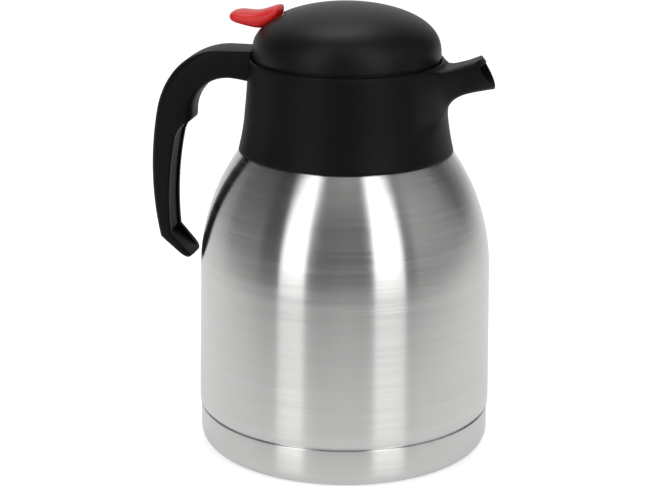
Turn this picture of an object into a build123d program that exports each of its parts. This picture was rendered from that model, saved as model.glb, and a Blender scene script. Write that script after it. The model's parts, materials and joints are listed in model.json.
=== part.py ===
from build123d import *
import math
import os

# Thermal jug: a double-walled steel flask with a moulded collar, spout and open handle,
# closed by a screw-in stopper under a dome, with a thumb lever that lifts the pouring valve.
# Origin at the centre of the base, +Z up, spout towards +X, handle towards -X, millimetres.

# Steel flask
STEEL = 0.8
BODY_FOOT_R = 71.2
BODY_TAPER = 1.0
SEAM_Z = 21.0
STRAIGHT_H = 7.0
SHOULDER_Z = 88.0
NECK_R = 38.0
NECK_TOP_Z = 172.0
NECK_H = 11.15
BEAD_OUT = 1.6
BEAD_H = 1.5
VACUUM_GAP = 4.2
NECK_GAP = 2.4
LINER_LIFT = 1.8
LINER_CORNER_R = 18.0
LINER_WELD_RISE = 2.0

# Base
BASE_INSET = 0.5
BASE_EDGE_R = 7.5
SEAM_GAP = 1.4
SKIRT_LIFT = 0.2
FOOT_RING_WIDTH = 4.2
FOOT_RECESS = 2.5
GETTER_R = 6.0
GETTER_H = 2.2

# Collar
COLLAR_DROP = 25.0
COLLAR_LIP = 0.62
FLARE_DROP = 5.5
FLARE_OUT = 1.8
RIM_OUT = 6.2
RIM_RISE = 19.3
RIM_EDGE_R = 0.5
RIM_WALL = 1.2
RIM_DEPTH = 3.3
DECK = 2.0
SKIN = 2.4
BORE_STEP = 2.0
BORE_WALL = 2.4
BORE_WEB_H = 5.0
FLOOR = 2.0
FLOOR_LIP = 0.2
GASKET_H = 1.2
SKIRT_GAP = 0.1

# Spout: distance from the axis, half width, and the top and underside of each section of the
# beak, measured up from the rim
SPOUT_SECTIONS = (
    (43.0, 19.5, -0.7, -34.3),
    (47.5, 15.0, -1.5, -23.3),
    (52.0, 12.2, -1.9, -17.1),
    (58.0, 10.6, -0.3, -14.0),
    (65.0, 9.8, 2.6, -12.0),
    (74.0, 9.2, 6.3, -10.4),
)
SPOUT_FLOOR_SHARE = 0.42
SPOUT_TOP_ROUND = 2.6
SPOUT_FLOOR_ROUND = 3.0
ROUND_LIMIT = 0.9
SPOUT_WALL = 1.6
CHANNEL_START_X = 36.0
CHANNEL_RISE = 0.5
MOUTH_TOP = (62.0, 2.7)
MOUTH_MIDDLE = (68.0, -4.3)
MOUTH_TIP = (71.2, -12.3)

# Thread between the collar and the stopper, two starts
THREAD_LEAD = 20.0
THREAD_H = 2.0
THREAD_FLANK_GAP = 0.3
THREAD_RISE = 6.6
THREAD_ANGLES = (90.0, 270.0)
COLLAR_THREAD_DEPTH = 1.8
COLLAR_THREAD_SPAN = 100.0
STOPPER_THREAD_SPAN = 60.0
THREAD_CREST_GAP = 0.5
THREAD_STEPS_PER_TURN = 60

# Clamp that holds the collar on the neck
CLAMP_H = 3.0
CLAMP_WIDTH = 7.0
CLAMP_SPLIT = 0.6
CLAMP_SCREW_R = 1.25
CLAMP_SCREW_OUT = 5.0
CLAMP_SCREW_ANGLES = (45.0, 135.0, 225.0, 315.0)
CLAMP_SCREW_REACH = 7.0
CLAMP_BOSS_R = 2.8
CLAMP_BOSS_COVER = 2.0
SCREW_HEAD_SHARE = 1.9
SCREW_HEAD_H = 1.8
SCREW_DRIVE_SHARE = 0.7

# Handle
HANDLE_WIDTH = 20.8
HANDLE_RISE = 2.1
HANDLE_ARM_H = 12.8
HANDLE_SHOULDER_X = 60.5
HANDLE_SHOULDER_DROP = 21.2
GRIP_X = 93.3
GRIP_Z = 135.0
GRIP_ARC_R = 151.0
GRIP_BEND_Z = 102.8
GRIP_BEND_R = 3.0
NOSE_X = 76.0
NOSE_ARC_R = 19.0
NOSE_Z = 157.4
NOSE_ROUND = 2.2
GRIP_INNER_TOP = (81.3, 156.2)
GRIP_INNER_MIDDLE = (86.0, 124.0)
GRIP_INNER_BEND = (85.4, 103.4)
TIP_UNDER = (76.6, 91.0)
TIP_OVER = (74.4, 93.7)
TIP_ROUND = 1.5
TIP_FLOOR = 2.9
TIP_BACKSET = 0.4
TIP_OPENING = 4.4
HANDLE_EDGE_R = 1.4
HANDLE_WALL = 2.6
HANDLE_FLOOR = 2.2
INSERT_RECESS = 1.0
INSERT_BOTTOM_Z = 105.0
INSERT_TOP_GAP = 2.0
INSERT_PEG_R = 1.5
INSERT_PEG_DEPTH = 1.2
INSERT_PEG_HEIGHTS = (112.0, 144.0)
HANDLE_SCREW_R = 1.5
HANDLE_SCREW_Y = 5.5
HANDLE_SCREW_DROP = 8.9
HANDLE_SCREW_REACH = 17.0
HANDLE_BOSS_HALF = 9.0
HANDLE_RIM_GAP = 0.6

# Dome
DOME_INSET = 1.1
DOME_GAP = 1.3
DOME_H = 24.4
DOME_RADIAL_POWER = 1.83
DOME_HEIGHT_POWER = 2.74
DOME_WALL = 2.2
DOME_PROFILE_STEPS = 9
DOME_BOSS_R = 3.0
LID_SCREW_R = 1.4
LID_SCREW_INSET = 3.4
LID_SCREW_REACH = 8.0
LID_SCREW_ANGLES = (0.0, 120.0, 240.0)

# Stopper
FLANGE_GAP = 0.7
FLANGE_H = 4.0
BARREL_GAP = 2.5
BARREL_WALL = 3.6
BARREL_FLOOR_GAP = 0.8
PLUG_GAP = 1.6
PLUG_WALL = 3.0
PLUG_DROP = 12.0
SEAT_PLATE = 2.5
SEAT_R = 10.0
WINDOW_WIDTH = 18.0
WINDOW_RISE = 1.8
WINDOW_DROP = 1.2
NECK_SEAL_RISE = 3.5
NECK_SEAL_H = 4.0
NECK_SEAL_DEPTH = 1.4
RUNNING_FIT = 0.05
BORE_SEAL_H = 2.2
BORE_SEAL_GAP = 0.3

# Lever bridge, which also guides the valve stem
BRIDGE_DROP = 8.4
BRIDGE_H = 2.2
BRIDGE_LEDGE = 1.5
GUIDE_R = 4.4
GUIDE_DROP = 4.0
GUIDE_RISE = 3.5
EAR_W = 2.8
EAR_LENGTH = 9.0
EAR_GAP = 0.4

# Thumb lever, its heights measured up from the dome's foot
PIVOT_X = 24.0
PIVOT_RISE = 7.9
PIVOT_R = 1.5
PIN_FIT = 0.06
HUB_R = 3.6
LEVER_WIDTH = 18.5
LEVER_PAD = (((57.0, 14.7), 2.3), ((57.0, 20.3), 2.4), ((44.6, 18.6), 24.0), ((30.6, 24.3), 1.8))
LEVER_FRONT = (30.2, 13.4)
LEVER_HEEL = (41.0, 12.4)
LEVER_APRON = (38.0, 35.2)
LEVER_APRON_RISE = 7.0
LEVER_EDGE_R = 1.6
FORK_END_X = 4.2
FORK_H = 5.0
FORK_SLOT = 2.6
FORK_SLOT_START_X = 12.0
SLOT_SIDE_GAP = 0.5
SLOT_FRONT_X = 29.6
SLOT_RISE = 9.4

# Valve
STEM_R = 2.0
STEM_RISE = 3.1
VALVE_PLATE_LAP = 1.5
VALVE_PLATE_H = 1.6
VALVE_SEAL_LAP = 3.0
VALVE_SEAL_H = 1.8
RETAINER_R = 4.5
RETAINER_H = 1.4
LINK_PIN_R = 1.1
LINK_PIN_LENGTH = 13.0
LINK_PIN_FIT = 0.08
LINK_PIN_TRAVEL = 0.6
SPRING_COIL_R = 5.6
SPRING_WIRE_R = 0.55
SPRING_TURNS = 6

# Values that follow from the sizes above
body_top_r = BODY_FOOT_R - BODY_TAPER
base_r = BODY_FOOT_R - BASE_INSET
foot_recess_r = base_r - BASE_EDGE_R - FOOT_RING_WIDTH
straight_top_z = SEAM_Z + STRAIGHT_H
skirt_bottom_z = FOOT_RECESS + BASE_EDGE_R + SKIRT_LIFT
liner_bottom_z = skirt_bottom_z + STEEL + GETTER_H + LINER_LIFT
liner_weld_z = liner_bottom_z + LINER_CORNER_R + LINER_WELD_RISE
shoulder_rise = NECK_TOP_Z - NECK_H - SHOULDER_Z
shoulder_reach = body_top_r - NECK_R
shoulder_arc_r = (shoulder_rise ** 2 + shoulder_reach ** 2) / (2 * shoulder_reach)
shoulder_centre = body_top_r - shoulder_arc_r

bead_r = NECK_R + BEAD_OUT
bore_r = NECK_R + BORE_STEP
rim_r = bore_r + RIM_OUT
clamp_r = NECK_R + CLAMP_WIDTH
clamp_screw_pitch_r = NECK_R + CLAMP_SCREW_OUT
liner_neck_r = NECK_R - STEEL - NECK_GAP
floor_hole_r = liner_neck_r + FLOOR_LIP
collar_flare_r = rim_r + FLARE_OUT
collar_bottom_z = NECK_TOP_Z - COLLAR_DROP
collar_drop_reach = math.sqrt(shoulder_arc_r ** 2 - (collar_bottom_z - SHOULDER_Z) ** 2)
collar_bottom_r = shoulder_centre + collar_drop_reach + COLLAR_LIP
collar_flare_z = NECK_TOP_Z - FLARE_DROP
rim_z = NECK_TOP_Z + RIM_RISE
clamp_top_z = NECK_TOP_Z - BEAD_H
floor_z = NECK_TOP_Z + GASKET_H
floor_top_z = floor_z + FLOOR
thread_z = floor_top_z + THREAD_RISE
recess_z = rim_z - RIM_DEPTH
handle_top_z = rim_z + HANDLE_RISE
arm_under_z = handle_top_z - HANDLE_ARM_H
handle_screw_z = handle_top_z - HANDLE_SCREW_DROP

dome_r = rim_r - DOME_INSET
dome_z = rim_z + DOME_GAP
flange_r = rim_r - RIM_WALL - FLANGE_GAP
flange_z = dome_z - FLANGE_H
lid_screw_pitch_r = flange_r - LID_SCREW_INSET
barrel_r = bore_r - BARREL_GAP
barrel_inner_r = barrel_r - BARREL_WALL
barrel_z = floor_top_z + BARREL_FLOOR_GAP
plug_r = liner_neck_r - STEEL - PLUG_GAP
plug_bottom_z = NECK_TOP_Z - PLUG_DROP
seat_z = plug_bottom_z + SEAT_PLATE
neck_seal_z = plug_bottom_z + NECK_SEAL_RISE
bridge_z = dome_z - BRIDGE_DROP
bridge_r = barrel_inner_r + BRIDGE_LEDGE
window_bottom_z = floor_top_z + WINDOW_RISE
window_top_z = bridge_z - WINDOW_DROP
pivot_z = dome_z + PIVOT_RISE
slot_bottom_z = dome_z + SLOT_RISE
stem_top_z = pivot_z + STEM_RISE
valve_plate_r = SEAT_R + VALVE_PLATE_LAP
valve_seal_r = SEAT_R + VALVE_SEAL_LAP
valve_plate_z = seat_z + VALVE_SEAL_H
spring_bottom_z = valve_plate_z + VALVE_PLATE_H

UPRIGHT = (Align.CENTER, Align.CENTER, Align.MIN)
FORWARD = (Align.MIN, Align.CENTER, Align.MIN)


def at_left(point):
    """Turn a distance from the axis and a height into a point on the handle's side."""
    distance, height = point
    return (-distance, height)


def over_dome(point):
    """Turn a distance behind the axis and a height above the dome's foot into a point."""
    distance, height = point
    return (-distance, dome_z + height)


def over_rim(point):
    """Turn a distance and a height above the rim into a point on the spout's side."""
    distance, height = point
    return (distance, rim_z + height)


def disc(radius, bottom, top):
    """Solid disc about the jug's axis."""
    return Pos(0, 0, bottom) * Cylinder(radius, top - bottom, align=UPRIGHT)


def ring(inner, outer, bottom, top):
    """Flat ring about the jug's axis."""
    return disc(outer, bottom, top) - disc(inner, bottom, top)


def side_face(outline):
    """Face in the plane of symmetry from the lines of a closed outline."""
    return make_face([Plane.XZ * edge for line in outline for edge in line.edges()])


def rounded(face, point, radius):
    """Round the corner of a side view that lies nearest to the point."""
    across, height = point
    corner = face.vertices().sort_by_distance(Vector(across, 0, height))[0]
    return fillet(corner, radius)


def turned(*outline):
    """Solid turned about the jug's axis from the edges of a closed half section."""
    return revolve(side_face(outline), Axis.Z)


def plate(outline, width):
    """Solid of a closed side view, centred on the plane of symmetry."""
    return extrude(side_face(outline), amount=width / 2, both=True)


def shoulder_height(inset, radius):
    """Height at which the shoulder's arc, moved inwards by the inset, has this radius."""
    reach = shoulder_arc_r - inset
    across = radius - shoulder_centre
    return SHOULDER_Z + math.sqrt(reach * reach - across * across)


def steel_solid(inset, neck_radius, bottom, top):
    """Filled outline of the steel body, moved inwards by the inset."""
    reach = shoulder_arc_r - inset
    side = body_top_r - inset
    foot = BODY_FOOT_R - inset
    neck_z = shoulder_height(inset, neck_radius)
    sweep_angle = math.degrees(math.asin((neck_z - SHOULDER_Z) / reach))
    return turned(
        Polyline((0, bottom), (foot, bottom), (foot, straight_top_z), (side, SHOULDER_Z)),
        CenterArc((shoulder_centre, SHOULDER_Z), reach, 0, sweep_angle),
        Polyline((neck_radius, neck_z), (neck_radius, top), (0, top), (0, bottom)),
    )


def at_angle(angle, radius, height):
    """Place on a circle about the jug's axis."""
    return Rot(0, 0, angle) * Pos(radius, 0, height)


def screw(radius, length):
    """Pan-head screw, its head's face at the origin and its shank along +Z."""
    head = Cylinder(radius * SCREW_HEAD_SHARE, SCREW_HEAD_H, align=UPRIGHT)
    head -= Cylinder(radius * SCREW_DRIVE_SHARE, SCREW_HEAD_H / 2, align=UPRIGHT)
    shank = Cylinder(radius, length, align=UPRIGHT)
    return Pos(0, 0, -SCREW_HEAD_H) * head + shank


def countersunk_screw(radius, length):
    """Countersunk screw, its flat head's face at the origin and its shank along +Z."""
    head_radius = radius * SCREW_HEAD_SHARE
    head = Cone(head_radius, radius, SCREW_HEAD_H, align=UPRIGHT)
    recess = Cylinder(radius * SCREW_DRIVE_SHARE, SCREW_HEAD_H / 2, align=UPRIGHT)
    shank = Cylinder(radius, length, align=UPRIGHT)
    return head + shank - recess


# Steel flask

def make_outer_shell():
    """Outer steel wall with a bead at the neck and a stepped-in skirt for the foot."""
    skirt_r = base_r - STEEL
    body = steel_solid(0, NECK_R, SEAM_Z, NECK_TOP_Z)
    body += ring(NECK_R - STEEL, bead_r, clamp_top_z, NECK_TOP_Z)
    body += disc(skirt_r, skirt_bottom_z, SEAM_Z)
    body -= steel_solid(STEEL, NECK_R - STEEL, SEAM_Z + STEEL, NECK_TOP_Z - STEEL)
    body -= disc(skirt_r - STEEL, skirt_bottom_z, SEAM_Z + STEEL)
    return body - disc(liner_neck_r, NECK_TOP_Z - STEEL, NECK_TOP_Z)


def liner_solid(inset, top):
    """Filled outline of the inner flask, moved inwards by the inset."""
    wall = STEEL + VACUUM_GAP + inset
    side = body_top_r - wall
    neck = liner_neck_r - inset
    neck_z = shoulder_height(wall, neck)
    bottom = liner_bottom_z + inset
    corner = LINER_CORNER_R - inset
    reach = shoulder_arc_r - wall
    sweep_angle = math.degrees(math.asin((neck_z - SHOULDER_Z) / reach))
    return turned(
        Line((0, bottom), (side - corner, bottom)),
        CenterArc((side - corner, bottom + corner), corner, -90, 90),
        Line((side, bottom + corner), (side, SHOULDER_Z)),
        CenterArc((shoulder_centre, SHOULDER_Z), reach, 0, sweep_angle),
        Polyline((neck, neck_z), (neck, top), (0, top), (0, bottom)),
    )


def liner_wall():
    """Wall of the inner flask from its bottom to the lip."""
    return liner_solid(0, NECK_TOP_Z) - liner_solid(STEEL, NECK_TOP_Z)


def make_inner_neck():
    """Shoulder and neck of the inner flask, drawn from one piece and welded to its body."""
    return liner_wall() - disc(body_top_r, 0, SHOULDER_Z)


def make_inner_flask():
    """Straight body of the inner flask."""
    return liner_wall() & disc(body_top_r, liner_weld_z, SHOULDER_Z)


def make_inner_bottom():
    """Drawn bottom of the inner flask, welded to its body."""
    return liner_wall() & disc(body_top_r, 0, liner_weld_z)


def make_base_cup():
    """Steel foot with a rounded edge and a standing ring, pressed over the shell's skirt."""
    top = SEAM_Z - SEAM_GAP
    cup = fillet(disc(base_r, 0, top).edges().group_by(Axis.Z)[0], BASE_EDGE_R)
    hollow = disc(base_r - STEEL, STEEL + FOOT_RECESS, top)
    cup -= fillet(hollow.edges().group_by(Axis.Z)[0], BASE_EDGE_R - STEEL)
    return cup - disc(foot_recess_r, 0, FOOT_RECESS)


def make_outer_bottom():
    """Steel plate that closes the vacuum jacket, welded inside the skirt."""
    return disc(base_r - 2 * STEEL, skirt_bottom_z, skirt_bottom_z + STEEL)


def make_getter_capsule():
    """Getter capsule on the bottom plate, inside the vacuum."""
    bottom = skirt_bottom_z + STEEL
    return disc(GETTER_R, bottom, bottom + GETTER_H)


# Collar, spout and thread

def collar_outline(inset, bottom, top):
    """Filled outline of the collar's outside, moved inwards by the inset."""
    slope = (collar_flare_r - rim_r) / (rim_z - collar_flare_z)
    top_r = rim_r - inset + slope * (rim_z - top)
    side = Line((top_r, top), (collar_flare_r - inset, collar_flare_z))
    flare = TangentArc(
        (collar_flare_r - inset, collar_flare_z),
        (collar_bottom_r - inset, bottom),
        tangent=(slope, -1),
    )
    return turned(
        side, flare, Polyline((collar_bottom_r - inset, bottom), (0, bottom), (0, top), (top_r, top))
    )


def beak_section(distance, half_width, top, bottom, top_round, floor_round):
    """Section of the beak across the spout: wide and flat on top, narrow below."""
    half_floor = half_width * SPOUT_FLOOR_SHARE
    corners = Polygon(
        (-half_width, top), (-half_floor, bottom), (half_floor, bottom), (half_width, top), align=None
    )
    low = corners.vertices().sort_by(Axis.Y)[0:2]
    section = fillet(low, min(floor_round, ROUND_LIMIT * half_floor))
    high = section.vertices().sort_by(Axis.Y)[-2:]
    section = fillet(high, top_round)
    across = Plane(origin=(distance, 0, 0), x_dir=(0, 1, 0), z_dir=(1, 0, 0))
    return across * section


def beak(wall):
    """Beak of the spout, moved inwards by the wall."""
    sections = []
    for distance, half_width, top, bottom in SPOUT_SECTIONS:
        low = rim_z + bottom
        if wall:
            low = max(low, floor_top_z + CHANNEL_RISE - wall)
        sections.append(beak_section(
            distance, half_width - wall, rim_z + top - wall, low + wall,
            SPOUT_TOP_ROUND - wall / 2, SPOUT_FLOOR_ROUND - wall / 2,
        ))
    return loft(sections)


def spout_channel():
    """Way of the drink from the bore to the mouth."""
    channel = beak(SPOUT_WALL)
    distance = SPOUT_SECTIONS[0][0]
    low = floor_top_z + CHANNEL_RISE
    entry = Pos(CHANNEL_START_X, 0, low) * Box(
        distance - CHANNEL_START_X, WINDOW_WIDTH, recess_z - DECK - low, align=FORWARD
    )
    return channel + entry


def mouth_cut():
    """Everything in front of the bowed mouth."""
    far_x = SPOUT_SECTIONS[-1][0] + SPOUT_WALL
    high_z = rim_z + SPOUT_SECTIONS[-1][2] + SPOUT_WALL
    top = over_rim(MOUTH_TOP)
    tip = over_rim(MOUTH_TIP)
    return plate(
        (
            ThreePointArc(top, over_rim(MOUTH_MIDDLE), tip),
            Polyline(tip, (far_x, tip[1]), (far_x, high_z), (top[0], high_z), top),
        ),
        2 * collar_bottom_r,
    )


def thread_rib(inner, outer, middle_angle, middle_z, span):
    """One start of the thread: a square rib that climbs with the lead."""
    steps = max(2, round(span / 360 * THREAD_STEPS_PER_TURN))
    sections = []
    for step in range(steps + 1):
        angle = (step / steps - 0.5) * span
        height = middle_z + THREAD_LEAD * angle / 360
        radial = Plane(origin=(0, 0, height), x_dir=(1, 0, 0), z_dir=(0, -1, 0))
        section = radial * Pos((inner + outer) / 2, 0) * Rectangle(outer - inner, THREAD_H)
        sections.append(Rot(0, 0, middle_angle + angle) * section)
    return loft(sections, ruled=True)


def make_collar():
    """Moulded collar with its spout, bore, thread and bosses."""
    outside = collar_outline(0, collar_bottom_z, rim_z)
    outside = fillet(outside.edges().group_by(Axis.Z)[-1], RIM_EDGE_R)
    collar = outside + beak(0) - mouth_cut() - spout_channel()
    collar += outside & disc(collar_bottom_r, recess_z - DECK, rim_z)
    collar -= disc(rim_r - RIM_WALL, recess_z, rim_z + SPOUT_SECTIONS[-1][2])
    collar -= disc(bore_r, floor_top_z, recess_z)
    collar -= disc(floor_hole_r, floor_z, floor_top_z)
    collar -= disc(bore_r + BORE_WALL, collar_bottom_z, floor_z)
    slot = collar_outline(SKIN, collar_bottom_z, recess_z - BORE_WEB_H)
    collar -= slot - disc(bore_r + BORE_WALL, collar_bottom_z, recess_z) - spout_block()
    skin_zone = collar_outline(SKIN / 2, collar_bottom_z, recess_z)
    collar += (handle_boss() + clamp_bosses()) & (skin_zone - disc(bore_r, collar_bottom_z, recess_z))
    for angle in THREAD_ANGLES:
        inner = bore_r - COLLAR_THREAD_DEPTH
        collar += thread_rib(inner, bore_r + BORE_WALL / 2, angle, thread_z, COLLAR_THREAD_SPAN)
    collar -= steel_solid(-SKIRT_GAP, NECK_R, SEAM_Z, clamp_top_z - CLAMP_H)
    for place in clamp_screw_places():
        collar -= place * Cylinder(CLAMP_SCREW_R, CLAMP_SCREW_REACH, align=UPRIGHT)
    for place in handle_screw_places():
        collar -= place * countersunk_hole()
    return collar


def spout_block():
    """Part of the skirt's hollow that stays solid round the spout's channel."""
    half_width = SPOUT_SECTIONS[0][1]
    return Pos(0, 0, floor_z) * Box(
        collar_bottom_r, 2 * half_width, rim_z - floor_z, align=FORWARD
    )


def handle_boss():
    """Solid block between the bore and the skin, behind the handle's root."""
    return Pos(-bore_r, 0, arm_under_z - FLOOR) * Box(
        2 * (rim_r - bore_r), 2 * HANDLE_BOSS_HALF, handle_top_z - arm_under_z,
        align=(Align.CENTER, Align.CENTER, Align.MIN),
    )


def clamp_screw_places():
    """The four screws of the neck clamp, pointing up."""
    return [at_angle(angle, clamp_screw_pitch_r, clamp_top_z) for angle in CLAMP_SCREW_ANGLES]


def clamp_bosses():
    """Four bosses in the collar that take the clamp's screws."""
    bosses = Part()
    for place in clamp_screw_places():
        bosses += place * Cylinder(CLAMP_BOSS_R, CLAMP_SCREW_REACH + CLAMP_BOSS_COVER, align=UPRIGHT)
    return bosses


def handle_screw_places():
    """The two screws of the handle's root, pointing away from the axis."""
    head_x = -bore_r - RUNNING_FIT
    return [
        Pos(head_x, side * HANDLE_SCREW_Y, handle_screw_z) * Rot(0, -90, 0) for side in (-1, 1)
    ]


def countersunk_hole():
    """Hole and countersink for a handle screw, open towards the bore."""
    head_radius = HANDLE_SCREW_R * SCREW_HEAD_SHARE
    hole = Cylinder(HANDLE_SCREW_R, HANDLE_SCREW_REACH, align=UPRIGHT)
    sink = Cone(head_radius, HANDLE_SCREW_R, SCREW_HEAD_H, align=UPRIGHT)
    mouth = Pos(0, 0, -HANDLE_SCREW_R) * Cylinder(head_radius, HANDLE_SCREW_R, align=UPRIGHT)
    return hole + sink + mouth


def make_neck_gasket():
    """Flat silicone ring between the steel lip and the collar's floor."""
    return ring(floor_hole_r, bead_r - STEEL, NECK_TOP_Z, floor_z)


def make_clamp_halves():
    """Two half rings that hook under the neck's bead and pull the collar down."""
    clamp = ring(NECK_R, clamp_r, clamp_top_z - CLAMP_H, clamp_top_z)
    clamp -= Pos(0, 0, clamp_top_z - CLAMP_H) * Box(2 * clamp_r, CLAMP_SPLIT, CLAMP_H, align=UPRIGHT)
    for place in clamp_screw_places():
        clamp -= place * Pos(0, 0, -CLAMP_H) * Cylinder(CLAMP_SCREW_R, CLAMP_H, align=UPRIGHT)
    return clamp


def make_clamp_screws():
    """Four screws from below through the clamp into the collar."""
    return [
        place * Pos(0, 0, -CLAMP_H) * screw(CLAMP_SCREW_R, CLAMP_H + CLAMP_SCREW_REACH)
        for place in clamp_screw_places()
    ]


# Handle

def grip_x(height, depth):
    """Distance from the axis of the grip's back, moved inwards by the depth."""
    reach = GRIP_ARC_R - depth
    centre = GRIP_ARC_R - GRIP_X
    return math.sqrt(reach * reach - (height - GRIP_Z) ** 2) - centre


def handle_outline():
    """Side view of the handle from its root over the shoulder to the tip."""
    start_x = rim_r - RIM_WALL
    arm_top = (-start_x, handle_top_z)
    shoulder_start = (-HANDLE_SHOULDER_X, handle_top_z)
    shoulder_end_z = handle_top_z - HANDLE_SHOULDER_DROP
    shoulder_end = (-grip_x(shoulder_end_z, 0), shoulder_end_z)
    grip_end = (-grip_x(GRIP_BEND_Z, 0), GRIP_BEND_Z)
    nose_arc_start = (-NOSE_X + NOSE_ARC_R, arm_under_z)
    nose_arc_end = (-NOSE_X, arm_under_z - NOSE_ARC_R)
    nose_arc_middle = (
        -NOSE_X + NOSE_ARC_R * (1 - math.sqrt(0.5)),
        arm_under_z - NOSE_ARC_R * (1 - math.sqrt(0.5)),
    )
    return (
        Line(arm_top, shoulder_start),
        TangentArc(shoulder_start, shoulder_end, tangent=(-1, 0)),
        ThreePointArc(shoulder_end, (-GRIP_X, GRIP_Z), grip_end),
        Polyline(grip_end, at_left(TIP_UNDER), at_left(TIP_OVER), at_left(GRIP_INNER_BEND)),
        ThreePointArc(at_left(GRIP_INNER_BEND), at_left(GRIP_INNER_MIDDLE), at_left(GRIP_INNER_TOP)),
        Polyline(at_left(GRIP_INNER_TOP), (-NOSE_X, NOSE_Z), nose_arc_end),
        ThreePointArc(nose_arc_end, nose_arc_middle, nose_arc_start),
        Polyline(nose_arc_start, (-start_x, arm_under_z), arm_top),
    )


def handle_corners():
    """Corners of the handle's side view with their radii."""
    return (
        ((-grip_x(GRIP_BEND_Z, 0), GRIP_BEND_Z), GRIP_BEND_R),
        (at_left(TIP_UNDER), TIP_ROUND),
        (at_left(TIP_OVER), TIP_ROUND),
        (at_left(GRIP_INNER_BEND), GRIP_BEND_R),
        (at_left(GRIP_INNER_TOP), NOSE_ROUND),
        ((-NOSE_X, NOSE_Z), NOSE_ROUND),
    )


def insert_outline(recess, bottom):
    """Side view of the channel along the inside of the grip, open towards the body."""
    top = GRIP_INNER_TOP[1] - INSERT_TOP_GAP
    face_x = GRIP_INNER_TOP[0] + recess
    middle_x, middle_z = GRIP_INNER_MIDDLE
    back_top = (-grip_x(top, HANDLE_FLOOR), top)
    back_bottom = (-grip_x(bottom, HANDLE_FLOOR), bottom)
    back_middle = (-grip_x(GRIP_Z, HANDLE_FLOOR), GRIP_Z)
    face_top = (-face_x, top)
    face_bottom = (-GRIP_INNER_BEND[0] - recess, bottom)
    return (
        ThreePointArc(back_top, back_middle, back_bottom),
        Line(back_bottom, face_bottom),
        ThreePointArc(face_bottom, (-middle_x - recess, middle_z), face_top),
        Line(face_top, back_top),
    )


def tip_pocket():
    """Open end of the channel in the bent tip."""
    bend = GRIP_BEND_Z
    inner_x, inner_z = GRIP_INNER_BEND
    under = HANDLE_FLOOR
    return (
        Polyline(
            (-grip_x(INSERT_BOTTOM_Z, under), INSERT_BOTTOM_Z),
            (-grip_x(bend, under), bend),
            (-TIP_UNDER[0] - HANDLE_WALL, TIP_UNDER[1] + TIP_FLOOR),
            (-TIP_OVER[0] - TIP_BACKSET, TIP_OVER[1] + TIP_OPENING),
            (-inner_x + under, inner_z),
            (-inner_x + under, INSERT_BOTTOM_Z),
            (-grip_x(INSERT_BOTTOM_Z, under), INSERT_BOTTOM_Z),
        ),
    )


def insert_pegs(length):
    """Round pegs behind the insert, pressed into the handle."""
    pegs = Part()
    for height in INSERT_PEG_HEIGHTS:
        back = -grip_x(height, HANDLE_FLOOR)
        start = Pos(back + INSERT_PEG_DEPTH, 0, height) * Rot(0, -90, 0)
        pegs += start * Cylinder(INSERT_PEG_R, INSERT_PEG_DEPTH + length, align=UPRIGHT)
    return pegs


def make_handle_shell():
    """Handle moulding, open at the bottom, with a channel along the inside of the grip."""
    side = side_face(handle_outline())
    for corner, radius in handle_corners():
        side = rounded(side, corner, radius)
    handle = extrude(side, amount=HANDLE_WIDTH / 2, both=True)
    handle = fillet(handle.faces().filter_by(Axis.Y).edges(), HANDLE_EDGE_R)
    channel_width = HANDLE_WIDTH - 2 * HANDLE_WALL
    handle -= plate(insert_outline(-2 * HANDLE_WALL, INSERT_BOTTOM_Z), channel_width)
    handle -= plate(tip_pocket(), channel_width)
    handle -= insert_pegs(INSERT_PEG_DEPTH)
    handle -= collar_outline(0, collar_bottom_z, rim_z)
    handle -= disc(dome_r + HANDLE_RIM_GAP, rim_z, handle_top_z + HANDLE_RIM_GAP)
    for place in handle_screw_places():
        handle -= place * Cylinder(HANDLE_SCREW_R, HANDLE_SCREW_REACH, align=UPRIGHT)
    return handle


def make_handle_insert():
    """Strip that closes the grip's channel, set back from its edges."""
    channel_width = HANDLE_WIDTH - 2 * HANDLE_WALL
    strip = plate(insert_outline(INSERT_RECESS, INSERT_BOTTOM_Z), channel_width)
    return strip + insert_pegs(INSERT_PEG_DEPTH)


def make_handle_screws():
    """Two countersunk screws from the bore into the handle's root."""
    return [
        place * countersunk_screw(HANDLE_SCREW_R, HANDLE_SCREW_REACH) for place in handle_screw_places()
    ]


# Lid

def dome_solid(inset):
    """Filled bun shape of the dome, moved inwards by the inset."""
    radius = dome_r - inset
    height = DOME_H - inset
    points = []
    for step in range(DOME_PROFILE_STEPS + 1):
        angle = math.pi / 2 * step / DOME_PROFILE_STEPS
        across = radius * math.cos(angle) ** (2 / DOME_RADIAL_POWER)
        up = height * math.sin(angle) ** (2 / DOME_HEIGHT_POWER)
        points.append((across, dome_z + up))
    points[-1] = (0, dome_z + height)
    side = Spline(*points, tangents=[(0, 1), (-1, 0)])
    return turned(side, Polyline((0, dome_z + height), (0, dome_z), (radius, dome_z)))


def lid_screw_places():
    """The three screws between the stopper's flange and the dome, pointing up."""
    return [at_angle(angle, lid_screw_pitch_r, flange_z) for angle in LID_SCREW_ANGLES]


def make_lid_dome():
    """Dome with the lever's slot at the back and three screw bosses."""
    outside = dome_solid(0)
    dome = outside - dome_solid(DOME_WALL)
    bosses = Part()
    for place in lid_screw_places():
        bosses += place * Pos(0, 0, FLANGE_H) * Cylinder(DOME_BOSS_R, DOME_H, align=UPRIGHT)
    dome += bosses & dome_solid(DOME_WALL / 2)
    slot_width = LEVER_WIDTH + 2 * SLOT_SIDE_GAP
    dome -= Pos(-SLOT_FRONT_X, 0, slot_bottom_z) * Box(
        dome_r, slot_width, DOME_H, align=(Align.MAX, Align.CENTER, Align.MIN)
    )
    for place in lid_screw_places():
        dome -= place * Cylinder(LID_SCREW_R, FLANGE_H + LID_SCREW_REACH, align=UPRIGHT)
    return dome


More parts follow.
